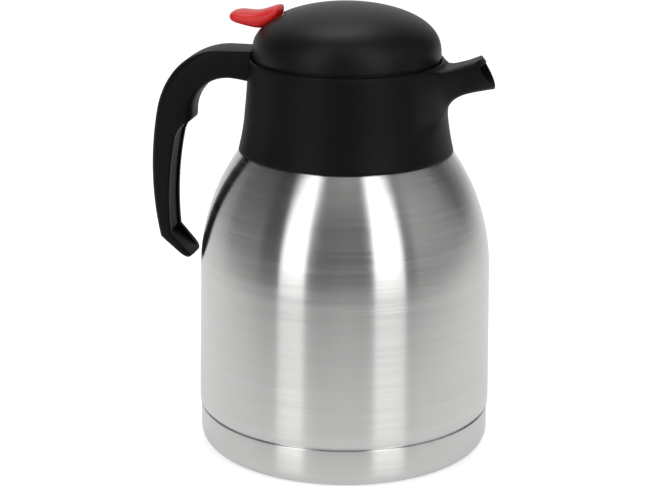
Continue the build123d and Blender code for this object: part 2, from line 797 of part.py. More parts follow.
def make_stopper_body():
    """Stopper with a flange under the dome, a threaded barrel, a plug and the valve's seat."""
    body = disc(flange_r, flange_z, dome_z)
    body += disc(barrel_r, barrel_z, dome_z)
    body += disc(plug_r, plug_bottom_z, barrel_z)
    for angle in THREAD_ANGLES:
        middle_z = thread_z - THREAD_H - THREAD_FLANK_GAP
        body += thread_rib(
            barrel_r - BARREL_WALL / 2, bore_r - THREAD_CREST_GAP, angle, middle_z, STOPPER_THREAD_SPAN
        )
    body -= disc(bridge_r, bridge_z, dome_z)
    body -= disc(barrel_inner_r, barrel_z + BARREL_WALL, bridge_z)
    body -= disc(plug_r - PLUG_WALL, seat_z, barrel_z + BARREL_WALL)
    body -= disc(SEAT_R, plug_bottom_z, seat_z)
    groove = ring(plug_r - NECK_SEAL_DEPTH, plug_r, neck_seal_z, neck_seal_z + NECK_SEAL_H)
    body -= groove
    body -= Pos(0, 0, window_bottom_z) * Box(
        2 * barrel_r, WINDOW_WIDTH, window_top_z - window_bottom_z, align=FORWARD
    )
    for place in lid_screw_places():
        body -= place * Cylinder(LID_SCREW_R, FLANGE_H, align=UPRIGHT)
        body -= place * Cone(LID_SCREW_R * SCREW_HEAD_SHARE, LID_SCREW_R, SCREW_HEAD_H, align=UPRIGHT)
    return body


def make_lid_screws():
    """Three countersunk screws from below the flange into the dome."""
    return [
        place * countersunk_screw(LID_SCREW_R, FLANGE_H + LID_SCREW_REACH) for place in lid_screw_places()
    ]


def make_bore_seal():
    """Silicone ring on the barrel, just under the flange."""
    return ring(barrel_r, bore_r - BORE_SEAL_GAP, flange_z - BORE_SEAL_H, flange_z)


def make_neck_seal():
    """Silicone ring in the plug's groove, which grips the steel neck."""
    inner = plug_r - NECK_SEAL_DEPTH + RUNNING_FIT
    outer = liner_neck_r - STEEL - RUNNING_FIT
    return ring(inner, outer, neck_seal_z + RUNNING_FIT, neck_seal_z + NECK_SEAL_H - RUNNING_FIT)


def make_lever_bridge():
    """Disc that closes the stopper, guides the valve's stem and carries the lever's pin."""
    top = bridge_z + BRIDGE_H
    bridge = disc(bridge_r, bridge_z, top)
    bridge += disc(GUIDE_R, bridge_z - GUIDE_DROP, top + GUIDE_RISE)
    for side in (-1, 1):
        ear_y = side * (LEVER_WIDTH / 2 + EAR_GAP + EAR_W / 2)
        bridge += Pos(-PIVOT_X, ear_y, bridge_z) * Box(EAR_LENGTH, EAR_W, pivot_z - bridge_z, align=UPRIGHT)
        bridge += Pos(-PIVOT_X, ear_y, pivot_z) * Rot(90, 0, 0) * Cylinder(EAR_LENGTH / 2, EAR_W)
    bridge -= disc(STEM_R + RUNNING_FIT, bridge_z - GUIDE_DROP, top + GUIDE_RISE)
    return bridge - pin(PIVOT_X, PIVOT_R, pivot_length())


def pivot_length():
    """Length of the lever's pin, flush with the outside of the ears."""
    return LEVER_WIDTH + 2 * (EAR_GAP + EAR_W)


def pin(distance, radius, length):
    """Round pin across the lid at the pivot's height."""
    return Pos(-distance, 0, pivot_z) * Rot(90, 0, 0) * Cylinder(radius, length)


def thumb_pad():
    """Thumb saddle of the lever, above and behind the dome."""
    corners = [over_dome(point) for point, radius in LEVER_PAD]
    side = side_face([Polyline(*corners, over_dome(LEVER_FRONT), over_dome(LEVER_HEEL), corners[0])])
    for point, radius in LEVER_PAD:
        side = rounded(side, over_dome(point), radius)
    pad = extrude(side, amount=LEVER_WIDTH / 2, both=True)
    return fillet(pad.faces().filter_by(Axis.Y).edges(), LEVER_EDGE_R)


def lever_arm():
    """Arm from the pad past the pivot to the fork, with an apron behind the dome's slot."""
    rear_x, front_x = LEVER_APRON
    half = FORK_H / 2
    front, front_z = over_dome(LEVER_FRONT)
    heel, heel_z = over_dome(LEVER_HEEL)
    apron_z = dome_z + LEVER_APRON_RISE
    return plate(
        (
            Polyline(
                (front, front_z + half), (-PIVOT_X, pivot_z + half),
                (FORK_END_X, pivot_z + half), (FORK_END_X, pivot_z - half), (-PIVOT_X, pivot_z - half),
                (-front_x, pivot_z - half / 2), (-front_x, apron_z), (-rear_x, apron_z),
                (-rear_x, heel_z + half), ((front + heel) / 2, front_z + 2 * half),
                (front, front_z + half),
            ),
        ),
        LEVER_WIDTH - 2 * LEVER_EDGE_R,
    )


def make_thumb_lever():
    """Thumb lever, with a forked inner end that lifts the valve's stem."""
    lever = thumb_pad() + lever_arm()
    lever += pin(PIVOT_X, HUB_R, LEVER_WIDTH)
    lever -= Pos(-FORK_SLOT_START_X, 0, pivot_z) * Box(
        2 * FORK_SLOT_START_X, 2 * FORK_SLOT, 2 * FORK_H, align=(Align.MIN, Align.CENTER, Align.CENTER)
    )
    half_fork = LINK_PIN_LENGTH / 2
    for side in (-1, 1):
        lever -= Pos(0, side * (half_fork + LEVER_WIDTH / 2), pivot_z) * Box(
            2 * FORK_SLOT_START_X, LEVER_WIDTH, 2 * FORK_H
        )
    link_slot = Pos(0, 0, pivot_z) * Box(
        2 * LINK_PIN_TRAVEL, LEVER_WIDTH, 2 * (LINK_PIN_R + LINK_PIN_FIT)
    )
    for side in (-1, 1):
        end = Pos(side * LINK_PIN_TRAVEL, 0, pivot_z) * Rot(90, 0, 0)
        link_slot += end * Cylinder(LINK_PIN_R + LINK_PIN_FIT, LEVER_WIDTH)
    return lever - link_slot - pin(PIVOT_X, PIVOT_R + PIN_FIT, LEVER_WIDTH)


def make_lever_pin():
    """Steel pin of the lever, pressed into the bridge's ears."""
    return pin(PIVOT_X, PIVOT_R, pivot_length())


# Valve

def make_valve_stem():
    """Stem with its plate, drilled for the link pin."""
    stem = disc(STEM_R, seat_z - RETAINER_H, stem_top_z)
    stem += disc(valve_plate_r, valve_plate_z, spring_bottom_z)
    return stem - pin(0, LINK_PIN_R, 2 * STEM_R)


def make_valve_seal():
    """Silicone disc that closes the seat."""
    return ring(STEM_R, valve_seal_r, seat_z, valve_plate_z)


def make_valve_retainer():
    """Push-on ring that holds the seal on the stem."""
    return ring(STEM_R, RETAINER_R, seat_z - RETAINER_H, seat_z)


def make_link_pin():
    """Pin through the stem that rides in the lever's fork."""
    return pin(0, LINK_PIN_R, LINK_PIN_LENGTH)


def make_valve_spring():
    """Coil spring between the valve's plate and the bridge."""
    length = bridge_z - spring_bottom_z - 2 * SPRING_WIRE_R
    path = Helix(length / SPRING_TURNS, length, SPRING_COIL_R)
    section = Plane(origin=path @ 0, z_dir=path % 0) * Circle(SPRING_WIRE_R)
    return Pos(0, 0, spring_bottom_z + SPRING_WIRE_R) * sweep(section, path=path, is_frenet=True)


parts = {
    "outer_shell": make_outer_shell(),
    "inner_neck": make_inner_neck(),
    "inner_flask": make_inner_flask(),
    "inner_bottom": make_inner_bottom(),
    "outer_bottom": make_outer_bottom(),
    "getter_capsule": make_getter_capsule(),
    "base_cup": make_base_cup(),
    "collar": make_collar(),
    "neck_gasket": make_neck_gasket(),
    "clamp_halves": make_clamp_halves(),
    "clamp_screws": make_clamp_screws(),
    "handle_shell": make_handle_shell(),
    "handle_insert": make_handle_insert(),
    "handle_screws": make_handle_screws(),
    "neck_seal": make_neck_seal(),
    "stopper_body": make_stopper_body(),
    "bore_seal": make_bore_seal(),
    "lid_dome": make_lid_dome(),
    "lid_screws": make_lid_screws(),
    "lever_bridge": make_lever_bridge(),
    "lever_pin": make_lever_pin(),
    "thumb_lever": make_thumb_lever(),
    "valve_stem": make_valve_stem(),
    "valve_seal": make_valve_seal(),
    "valve_retainer": make_valve_retainer(),
    "link_pin": make_link_pin(),
    "valve_spring": make_valve_spring(),
}

os.makedirs("parts", exist_ok=True)
for name, shape in parts.items():
    whole = Compound(children=shape) if isinstance(shape, list) else shape
    export_step(whole, f"parts/{name}.step")
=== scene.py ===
import json
import math

import bmesh
import bpy
from mathutils import Euler, Matrix, Vector
from mathutils.geometry import interpolate_bezier


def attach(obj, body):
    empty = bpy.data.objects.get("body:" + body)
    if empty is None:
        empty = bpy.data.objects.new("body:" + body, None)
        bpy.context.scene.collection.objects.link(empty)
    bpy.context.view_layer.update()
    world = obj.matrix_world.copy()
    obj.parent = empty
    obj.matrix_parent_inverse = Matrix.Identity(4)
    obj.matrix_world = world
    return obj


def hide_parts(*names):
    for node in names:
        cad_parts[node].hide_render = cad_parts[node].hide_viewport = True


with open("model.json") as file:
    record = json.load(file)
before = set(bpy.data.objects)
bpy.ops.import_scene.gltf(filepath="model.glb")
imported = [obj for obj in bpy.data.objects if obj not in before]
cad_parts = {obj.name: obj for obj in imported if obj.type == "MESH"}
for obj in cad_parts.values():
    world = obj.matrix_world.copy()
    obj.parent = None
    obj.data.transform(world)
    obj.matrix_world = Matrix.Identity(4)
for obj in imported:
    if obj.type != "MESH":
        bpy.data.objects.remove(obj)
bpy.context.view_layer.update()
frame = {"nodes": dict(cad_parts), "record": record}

# Sizes are in millimetres in the jug's own frame: +Z up, spout towards +X, handle towards -X.
MM = 0.001
TURN_STEPS = 144
TURN_WELD = 0.001
TURN_SLIVER = 0.0001
LENGTH_TOLERANCE = 1e-9
WELD = 0.002
SLIVER = 0.0005
SMOOTH_LEVELS = 2

# Angles in degrees up to which an edge is shaded smooth
METAL_ANGLE = 35.0
HANDLE_ANGLE = 40.0
EVERY_ANGLE = 180.0

# Steel flask
STEEL = 0.8
BODY_FOOT_R = 71.2
BODY_TOP_R = 70.2
SEAM_Z = 21.0
STRAIGHT_TOP_Z = 28.0
SHOULDER_Z = 88.0
SHOULDER_ARC_R = 98.5
NECK_R = 38.0
NECK_TOP_Z = 172.0
SKIRT_R = 69.9
SKIRT_BOTTOM_Z = 10.2
LIP_ROUND = 0.5
LIP_STEPS = 4
SHOULDER_ARC_STEPS = 48
INNER_ARC_STEPS = 24

# Base
BASE_R = 70.7
BASE_TOP_Z = 19.6
BASE_EDGE_R = 7.5
FOOT_INNER_R = 59.0
FOOT_RECESS = 2.5
FOOT_ROUND = 0.6
BASE_EDGE_STEPS = 16
BASE_INNER_STEPS = 8

# Collar
COLLAR_BOTTOM_Z = 147.0
COLLAR_BOTTOM_R = 51.6
COLLAR_FLARE_Z = 166.5
COLLAR_FLARE_R = 48.4
RIM_R = 46.4
RIM_Z = 190.9
RIM_WALL = 1.2
RECESS_Z = 188.0
SKIN = 2.4
BORE_R = 40.0
FLOOR_Z = 173.2
FLOOR_TOP_Z = 175.2
FLOOR_HOLE_R = 35.0
COLLAR_COLUMNS = 60
SPOUT_COLUMNS = 10
SPOUT_FOOT_Z = 166.0
PATCH_HEIGHTS = (SPOUT_FOOT_Z, 170.8, 175.8, 180.8, 186.0, RIM_Z)
WINDOW_COLUMNS = 4
WINDOW_HEIGHTS = (177.2, 180.0, 182.6, 185.2)
NECK_CLEARANCE = 0.6
NECK_ROOF_RISE = 1.0
NECK_CREASE = 0.4
COLLAR_LIP_RISE = 0.2
FLARE_STEPS = 5
FLARE_ROW_GAP = 1.0
SPOUT_FOOT_SWELL = 0.1
ROW_TOLERANCE = 0.05
BORE_TOLERANCE = 0.5
OUTSIDE_PAST_BORE = 4.0
UPRIGHT_NORMAL = 0.5

# Spout sections: distance from the axis, half width, top, underside, half width of the flat roof, roof's
# fall and how much further out the underside is than the roof. Those of the mouth and of the channel's end
# have no distance and no last value.
SPOUT_SECTIONS = (
    (47.0, 12.4, 189.0, 169.6, 10.4, 0.3, 1.9),
    (49.6, 11.0, 189.3, 173.0, 8.4, 0.5, 1.4),
    (52.8, 10.1, 190.4, 175.0, 6.4, 1.0, 0.9),
    (57.2, 9.7, 191.9, 177.0, 5.4, 1.4, 0.4),
)
MOUTH_SECTION = (9.9, 194.4, 180.0, 5.4, 1.4)
SPOUT_KEEL_SHARE = 0.3
KEEL_ROUND_SHARE = 0.35
ROOF_SPREAD = 1.5
FIRST_RING_SHARE = 0.5
SPOUT_FULLNESS = 1.4
MOUTH_FULLNESS = 2.3
SPOUT_WALL = 1.3
SPOUT_ROOF_WALL = 2.4
PATCH_FOOT_SHARE = 0.42
SPOUT_SIDE_SHARES = (0.3, 0.55, 0.78, 0.93)
MOUTH_TOP = (64.8, 194.4)
MOUTH_MIDDLE = (69.3, 187.4)
MOUTH_TIP = (71.1, 180.0)
MOUTH_BOW = 3.2
MOUTH_SUPPORT = 0.4
MOUTH_RUN = 3.0
CHANNEL_END_X = 43.4
CHANNEL_END_SECTION = (8.0, WINDOW_HEIGHTS[-1], WINDOW_HEIGHTS[0], 6.0, 0.3)
CEILING_SLOPE = 0.3
TOP_EDGE_CREASES = (0.7, 0.6, 0.45, 0.3)
RIM_CREASE = 0.8

# Thread ribs
THREAD_LEAD = 20.0
THREAD_H = 2.0
THREAD_Z = 181.8
THREAD_DEPTH = 1.8
THREAD_SPAN = 100.0
THREAD_STEPS = 24
THREAD_ANGLES = (90.0, 270.0)

# Handle
HANDLE_HALF_WIDTH = 10.4
HANDLE_TOP_Z = 193.5
HANDLE_ROOT_R = 45.7
HANDLE_ROOT_UNDER_Z = 179.1
ARM_STATION_XS = (48.0, 51.0, 54.0)
HANDLE_ARM_X = 55.5
HANDLE_ARM_UNDER_Z = 180.1
HANDLE_SHOULDER_X = 58.0
HANDLE_SHOULDER_DROP = 31.5
SHOULDER_TOP_PULL = 20.0
SHOULDER_GRIP_PULL = 17.0
GRIP_X = 94.9
GRIP_Z = 134.0
GRIP_ARC_R = 160.0
GRIP_BEND_Z = 99.2
NOSE_ARC_R = 19.3
NOSE_Z = 157.5
NOSE_ROUND = 3.2
NOSE_STEPS = 8
NOSE_END = 2
GRIP_INNER_TOP = (78.0, 156.4)
GRIP_FLARE_MIDDLE = (80.8, 153.4)
GRIP_FLARE_END = (82.5, 149.8)
GRIP_INNER_MIDDLE = (85.9, 124.0)
GRIP_INNER_BEND = (85.5, 101.6)
GRIP_FLARE_STEPS = 6
GRIP_STEPS = 22
TIP_UNDER = (77.2, 88.3)
TIP_OVER = (75.3, 89.9)
TIP_STEPS = 14
TIP_SPACING = 1.8
TIP_ROUND = 5.0
TIP_FLOOR = 2.6
TIP_NARROW = 1.2
TIP_PULL_SHARE = 0.4
TIP_THICKNESS_PER_EDGE = 2.4
HANDLE_EDGE_R = 1.2
SHOULDER_EDGE_R = 4.6
GRIP_EDGE_R = 3.0
ARM_INNER_R = 2.4
NOSE_EDGE_R = 6.8
BORDER_EDGE_R = 1.4
CORNER_STEPS = 6
SHOULDER_STEPS = 24
CURVE_STEPS = 48
HANDLE_WALL = 3.2
HANDLE_FLOOR = 3.0
CHANNEL_TOP_Z = 155.6
STRIP_RECESS = 1.0
STRIP_GAP = 0.1
STRIP_EDGE_R = 0.35

# Dome
DOME_R = 44.9
DOME_Z = 192.6
DOME_H = 24.4
DOME_RADIAL_POWER = 1.94
DOME_HEIGHT_POWER = 2.64
DOME_WALL = 2.2
DOME_STEPS = 40
SLOT_HALF_WIDTH = 9.75
SLOT_FRONT_X = -28.9
SLOT_BOTTOM_Z = 200.5
CUT_TOLERANCE = 0.001

# Thumb lever
PAD_RING_STEPS = 16
PAD_SQUARE = 0.72
PIVOT_X = 24.0
PIVOT_Z = 200.5
HUB_R = 3.6
HUB_HALF = 9.2
HUB_STEPS = 48
FORK_H = 5.0
FORK_END_X = 4.2
FORK_SLOT = 2.6
FORK_OUTER = 6.5
ARM_HALF = 7.6
ARM_FOOT_Z = 199.6
ARM_FRONT_X = -35.2
ARM_ROOT = 4.0
ARM_BACK = ((-37.6, ARM_FOOT_Z), (-37.6, 208.0), (-34.0, 210.5), (-30.2, 209.0))
LEVER_EDGE_R = 0.4
LEVER_EDGE_STEPS = 3

# Camera, fitted to the photo
CAMERA_PLACE = (199.6, -939.0, 392.8)
CAMERA_PITCH = 17.0
CAMERA_YAW = 12.616
CAMERA_ROLL = 0.29
CAMERA_LENS = 114.6
SENSOR_WIDTH = 36.0
CLIP_START = 0.01
CLIP_END = 50.0


# Mesh helpers

def arc(centre, radius, start, end, steps):
    """Points of an arc in a section, by angles in degrees."""
    points = []
    for step in range(steps + 1):
        angle = math.radians(start + (end - start) * step / steps)
        points.append((centre[0] + radius * math.cos(angle), centre[1] + radius * math.sin(angle)))
    return points


def arc_through(first, middle, last, steps):
    """Points of the arc through three points of a section."""
    (ax, ay), (bx, by), (cx, cy) = first, middle, last
    double = 2 * (ax * (by - cy) + bx * (cy - ay) + cx * (ay - by))
    a, b, c = ax * ax + ay * ay, bx * bx + by * by, cx * cx + cy * cy
    x = (a * (by - cy) + b * (cy - ay) + c * (ay - by)) / double
    y = (a * (cx - bx) + b * (ax - cx) + c * (bx - ax)) / double
    radius = math.hypot(ax - x, ay - y)
    start = math.degrees(math.atan2(ay - y, ax - x))
    end = math.degrees(math.atan2(cy - y, cx - x))
    if end - start > 180:
        end -= 360
    if start - end > 180:
        end += 360
    return arc((x, y), radius, start, end, steps)


def rounded(corners, steps):
    """Outline with its corners, each given as a point and a radius, rounded by arcs."""
    points = []
    for index, (point, radius) in enumerate(corners):
        here = Vector(point)
        if not radius:
            points.append(tuple(here))
            continue
        before = (Vector(corners[index - 1][0]) - here).normalized()
        after = (Vector(corners[(index + 1) % len(corners)][0]) - here).normalized()
        half = before.angle(after) / 2
        centre = here + (before + after).normalized() * (radius / math.sin(half))
        reach = radius / math.tan(half)
        first = here + before * reach - centre
        last = here + after * reach - centre
        turn = first.angle_signed(last)
        for step in range(steps + 1):
            share = step / steps
            arm = first.copy()
            arm.rotate(Matrix.Rotation(-turn * share, 2))
            points.append(tuple(centre + arm))
    return points


def turned(outline, closed=True, steps=TURN_STEPS):
    """Mesh turned about the jug's axis from a half section."""
    mesh = bmesh.new()
    corners = [mesh.verts.new((radius, 0, height)) for radius, height in outline]
    pairs = list(zip(corners, corners[1:]))
    if closed:
        pairs.append((corners[-1], corners[0]))
    edges = [mesh.edges.new(pair) for pair in pairs]
    bmesh.ops.spin(
        mesh, geom=corners + edges, cent=(0, 0, 0), axis=(0, 0, 1), angle=2 * math.pi,
        steps=steps, use_merge=True, use_duplicate=False,
    )
    bmesh.ops.remove_doubles(mesh, verts=mesh.verts, dist=TURN_WELD)
    bmesh.ops.dissolve_degenerate(mesh, edges=mesh.edges, dist=TURN_SLIVER)
    return mesh


def place_nearest(corners, point):
    """The corner that lies nearest to a point."""
    target = Vector(point)
    return min(corners, key=lambda corner: (corner.co - target).length)


def closed_loop(mesh, points):
    """Closed loop of edges through points."""
    corners = [mesh.verts.new(point) for point in points]
    edges = [mesh.edges.new(pair) for pair in zip(corners, corners[1:] + corners[:1])]
    return corners, edges


def pulled(mesh, corners, edges, points):
    """Extrude a closed loop of edges and bring its corners to the points."""
    result = bmesh.ops.extrude_edge_only(mesh, edges=edges)["geom"]
    fresh = {item for item in result if isinstance(item, bmesh.types.BMVert)}
    moved = []
    for corner in corners:
        partner = next(
            edge.other_vert(corner) for edge in corner.link_edges if edge.other_vert(corner) in fresh
        )
        moved.append(partner)
    for corner, point in zip(moved, points):
        corner.co = point
    fresh_edges = [
        item for item in result
        if isinstance(item, bmesh.types.BMEdge) and all(corner in fresh for corner in item.verts)
    ]
    return moved, fresh_edges


def lofted(rings):
    """Mesh drawn through rings of points, closed at both ends."""
    mesh = bmesh.new()
    corners, edges = closed_loop(mesh, rings[0])
    mesh.faces.new(corners)
    for ring in rings[1:]:
        corners, edges = pulled(mesh, corners, edges, ring)
    mesh.faces.new(corners)
    return mesh


def placed(name, data):
    """Object with the given data, linked to the scene."""
    made = bpy.data.objects.new(name, data)
    bpy.context.scene.collection.objects.link(made)
    return made


def finished(mesh, name, slot, body, nodes=(), angle=METAL_ANGLE):
    """Object of a piece, in place on its body."""
    bmesh.ops.remove_doubles(mesh, verts=mesh.verts, dist=WELD)
    bmesh.ops.dissolve_degenerate(mesh, edges=mesh.edges, dist=SLIVER)
    bmesh.ops.recalc_face_normals(mesh, faces=mesh.faces)
    bmesh.ops.scale(mesh, vec=(MM, MM, MM), verts=mesh.verts)
    for edge in mesh.edges:
        edge.smooth = not edge.is_manifold or edge.calc_face_angle(0) < math.radians(angle)
    for face in mesh.faces:
        face.smooth = True
    data = bpy.data.meshes.new(name)
    mesh.to_mesh(data)
    mesh.free()
    piece = placed(name, data)
    data.materials.append(MATERIALS[slot])
    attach(piece, body)
    if nodes:
        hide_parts(*nodes)
    return piece


def soften(piece):
    """Round a piece by subdivision."""
    smoothing = piece.modifiers.new("smooth", "SUBSURF")
    smoothing.levels = SMOOTH_LEVELS
    smoothing.render_levels = SMOOTH_LEVELS


# Node helpers

FLOAT = "NodeSocketFloat"
VECTOR = "NodeSocketVector"


def add(tree, kind, inputs=None, **settings):
    """Shader node with its settings and inputs; a socket given as an input is linked."""
    made = tree.nodes.new(kind)
    for key, value in settings.items():
        setattr(made, key, value)
    for key, value in (inputs or {}).items():
        if isinstance(value, bpy.types.NodeSocket):
            tree.links.new(value, made.inputs[key])
        else:
            made.inputs[key].default_value = value
    return made


def calculate(tree, operation, first, second=0.0, third=0.0):
    """Result of a Math node."""
    return add(tree, "ShaderNodeMath", {0: first, 1: second, 2: third}, operation=operation).outputs[0]


def noise(tree, place, scale, detail, roughness=0.5):
    """Value of a Noise texture."""
    inputs = {"Vector": place, "Scale": scale, "Detail": detail, "Roughness": roughness}
    return add(tree, "ShaderNodeTexNoise", inputs).outputs[0]


def ramp(tree, factor, stops):
    """Brightness that follows a factor through stops of (position, value)."""
    made = add(tree, "ShaderNodeValToRGB", {"Fac": factor})
    line = made.color_ramp
    line.interpolation = "EASE"
    while len(line.elements) < len(stops):
        line.elements.new(0.5)
    for element, (position, value) in zip(line.elements, stops):
        element.position = position
        element.color = (value, value, value, 1)
    return made.outputs["Color"]


def group(name, inputs, outputs):
    """Empty shader node group with named sockets."""
    tree = bpy.data.node_groups.new(name, "ShaderNodeTree")
    for label in inputs:
        tree.interface.new_socket(name=label, in_out="INPUT", socket_type=FLOAT)
    for label, kind in outputs:
        tree.interface.new_socket(name=label, in_out="OUTPUT", socket_type=kind)
    return tree, tree.nodes.new("NodeGroupInput").outputs, tree.nodes.new("NodeGroupOutput").inputs


BUMP_HEIGHT = 0.1 * MM
PATCHES_PER_METRE = 38.0
STREAKS_PER_METRE = 18.0
BAND_SHARES = (0.4, 0.4, 0.3)
QUARTER_TURN = 0.25


def make_moulded_grain():
    """Fine spark-eroded texture of moulded plastic, with faint rubbed patches."""
    inputs = ("Grain mm", "Depth", "Roughness", "Rub")
    tree, given, out = group("moulded grain", inputs, (("Roughness", FLOAT), ("Normal", VECTOR)))
    place = add(tree, "ShaderNodeTexCoord").outputs["Object"]
    scale = calculate(tree, "DIVIDE", 1 / MM, given["Grain mm"])
    grain = noise(tree, place, scale, 3.0, roughness=0.6)
    patches = noise(tree, place, PATCHES_PER_METRE, 3.0)
    relief = {"Height": grain, "Strength": given["Depth"], "Distance": BUMP_HEIGHT}
    bump = add(tree, "ShaderNodeBump", relief)
    rub = calculate(tree, "MULTIPLY_ADD", patches, given["Rub"], given["Roughness"])
    speckle = calculate(tree, "MULTIPLY_ADD", grain, given["Rub"], rub)
    tree.links.new(speckle, out["Roughness"])
    tree.links.new(bump.outputs[0], out["Normal"])
    return tree


def make_brushing():
    """Fine lines of steel brushed round the jug's axis."""
    inputs = ("Line mm", "Depth", "Roughness", "Change")
    outputs = (("Roughness", FLOAT), ("Tone", FLOAT), ("Normal", VECTOR))
    tree, given, out = group("brushing", inputs, outputs)
    place = add(tree, "ShaderNodeTexCoord").outputs["Object"]
    parts = add(tree, "ShaderNodeSeparateXYZ", {0: place}).outputs
    up = calculate(tree, "DIVIDE", parts["Z"], given["Line mm"])
    up = calculate(tree, "MULTIPLY", up, 1 / MM)
    stretched = add(
        tree, "ShaderNodeCombineXYZ",
        {
            "X": calculate(tree, "MULTIPLY", parts["X"], STREAKS_PER_METRE),
            "Y": calculate(tree, "MULTIPLY", parts["Y"], STREAKS_PER_METRE),
            "Z": up,
        },
    ).outputs[0]
    lines = noise(tree, stretched, 1.0, 1.5)
    wide = add(tree, "ShaderNodeVectorMath", {0: stretched, 1: BAND_SHARES}, operation="MULTIPLY")
    bands = noise(tree, wide.outputs[0], 1.0, 2.0)
    both = calculate(tree, "ADD", lines, bands)
    offset = calculate(tree, "SUBTRACT", both, 1.0)
    rough = calculate(tree, "MULTIPLY_ADD", offset, given["Change"], given["Roughness"])
    relief = {"Height": lines, "Strength": given["Depth"], "Distance": BUMP_HEIGHT}
    bump = add(tree, "ShaderNodeBump", relief)
    tree.links.new(rough, out["Roughness"])
    tree.links.new(offset, out["Tone"])
    tree.links.new(bump.outputs[0], out["Normal"])
    return tree


MOULDED_GRAIN = make_moulded_grain()
BRUSHING = make_brushing()


def new_material(name):
    """Empty material: its node tree and its Principled shader."""
    material = bpy.data.materials.new(name)
    material.use_nodes = True
    tree = material.node_tree
    return material, tree, tree.nodes["Principled BSDF"]


def skinned(name, skin_group, inputs):
    """Material with its roughness and relief from a node group: also its shader and the group's outputs."""
    material, tree, shader = new_material(name)
    skin = add(tree, "ShaderNodeGroup", inputs, node_tree=skin_group).outputs
    for socket in ("Roughness", "Normal"):
        tree.links.new(skin[socket], shader.inputs[socket])
    return material, shader, skin


def moulded(name, colour, roughness, grain, depth, rub=0.06, sheen=0.5):
    """Moulded plastic."""
    inputs = {"Grain mm": grain, "Depth": depth, "Roughness": roughness, "Rub": rub}
    material, shader, _ = skinned(name, MOULDED_GRAIN, inputs)
    shader.inputs["Base Color"].default_value = (*colour, 1)
    shader.inputs["Specular IOR Level"].default_value = sheen
    return material


def brushed(name, colour, roughness, line, depth, change=0.1, streak=0.75, tone=0.05):
    """Stainless steel brushed round the axis."""
    inputs = {"Line mm": line, "Depth": depth, "Roughness": roughness, "Change": change}
    material, shader, skin = skinned(name, BRUSHING, inputs)
    tree = material.node_tree
    darker = [channel * (1 - tone) for channel in colour]
    lighter = [min(1.0, channel * (1 + tone)) for channel in colour]
    share = calculate(tree, "ADD", skin["Tone"], 0.5)
    mixed = add(tree, "ShaderNodeMix", {0: share, 6: (*darker, 1), 7: (*lighter, 1)}, data_type="RGBA")
    tree.links.new(mixed.outputs[2], shader.inputs["Base Color"])
    shader.inputs["Metallic"].default_value = 1.0
    shader.inputs["Anisotropic"].default_value = streak
    shader.inputs["Anisotropic Rotation"].default_value = QUARTER_TURN
    around = add(tree, "ShaderNodeTangent", direction_type="RADIAL", axis="Z")
    tree.links.new(around.outputs[0], shader.inputs["Tangent"])
    return material


BLACK = (0.0022, 0.0022, 0.0024)
DARK_GREY = (0.004, 0.004, 0.0044)
RED = (0.62, 0.010, 0.008)

# Material of each slot
MATERIALS = {
    "brushed_steel": brushed(
        "brushed steel", (0.62, 0.62, 0.61), 0.26, line=0.9, depth=0.025, change=0.04, streak=1.0, tone=0.09
    ),
    "inner_steel": brushed("inner steel", (0.58, 0.58, 0.57), 0.3, line=0.8, depth=0.05),
    "fastener_steel": brushed("fastener steel", (0.6, 0.6, 0.6), 0.22, line=0.3, depth=0.04, streak=0.2),
    "black_plastic": moulded("black plastic", BLACK, 0.44, grain=0.45, depth=0.4, sheen=0.16),
    "dome_plastic": moulded("dome plastic", BLACK, 0.38, grain=0.4, depth=0.3, sheen=0.24),
    "insert_plastic": moulded("insert plastic", DARK_GREY, 0.5, grain=0.4, depth=0.3, sheen=0.12),
    # Inner pieces get a colour darker than their own: painted shade that keeps the gap between the rim and
    # the dome dark
    "inner_plastic": moulded("inner plastic", DARK_GREY, 0.42, grain=0.8, depth=0.1, sheen=0.15),
    "red_plastic": moulded("red plastic", RED, 0.34, grain=0.7, depth=0.05, rub=0.05, sheen=0.4),
    "seal_silicone": moulded("silicone", (0.5, 0.5, 0.48), 0.5, grain=0.9, depth=0.1),
}


# Steel body and foot

def steel_outline():
    """Half section of the outer shell: up the outside and down the inside."""
    centre = (BODY_TOP_R - SHOULDER_ARC_R, SHOULDER_Z)
    neck_angle = math.degrees(math.acos((NECK_R - centre[0]) / SHOULDER_ARC_R))
    inner_reach = SHOULDER_ARC_R - STEEL
    inner_angle = math.degrees(math.acos((NECK_R - STEEL - centre[0]) / inner_reach))
    foot = BODY_FOOT_R
    return (
        [(SKIRT_R - STEEL, SKIRT_BOTTOM_Z), (SKIRT_R, SKIRT_BOTTOM_Z), (SKIRT_R, SEAM_Z)]
        + arc((foot - LIP_ROUND, SEAM_Z + LIP_ROUND), LIP_ROUND, -90, 0, LIP_STEPS)
        + [(foot, STRAIGHT_TOP_Z)]
        + arc(centre, SHOULDER_ARC_R, 0, neck_angle, SHOULDER_ARC_STEPS)
        + [(NECK_R, NECK_TOP_Z), (NECK_R - STEEL, NECK_TOP_Z)]
        + arc(centre, inner_reach, inner_angle, 0, INNER_ARC_STEPS)
        + [(foot - STEEL, STRAIGHT_TOP_Z), (foot - STEEL, SEAM_Z + STEEL), (SKIRT_R - STEEL, SEAM_Z + STEEL)]
    )


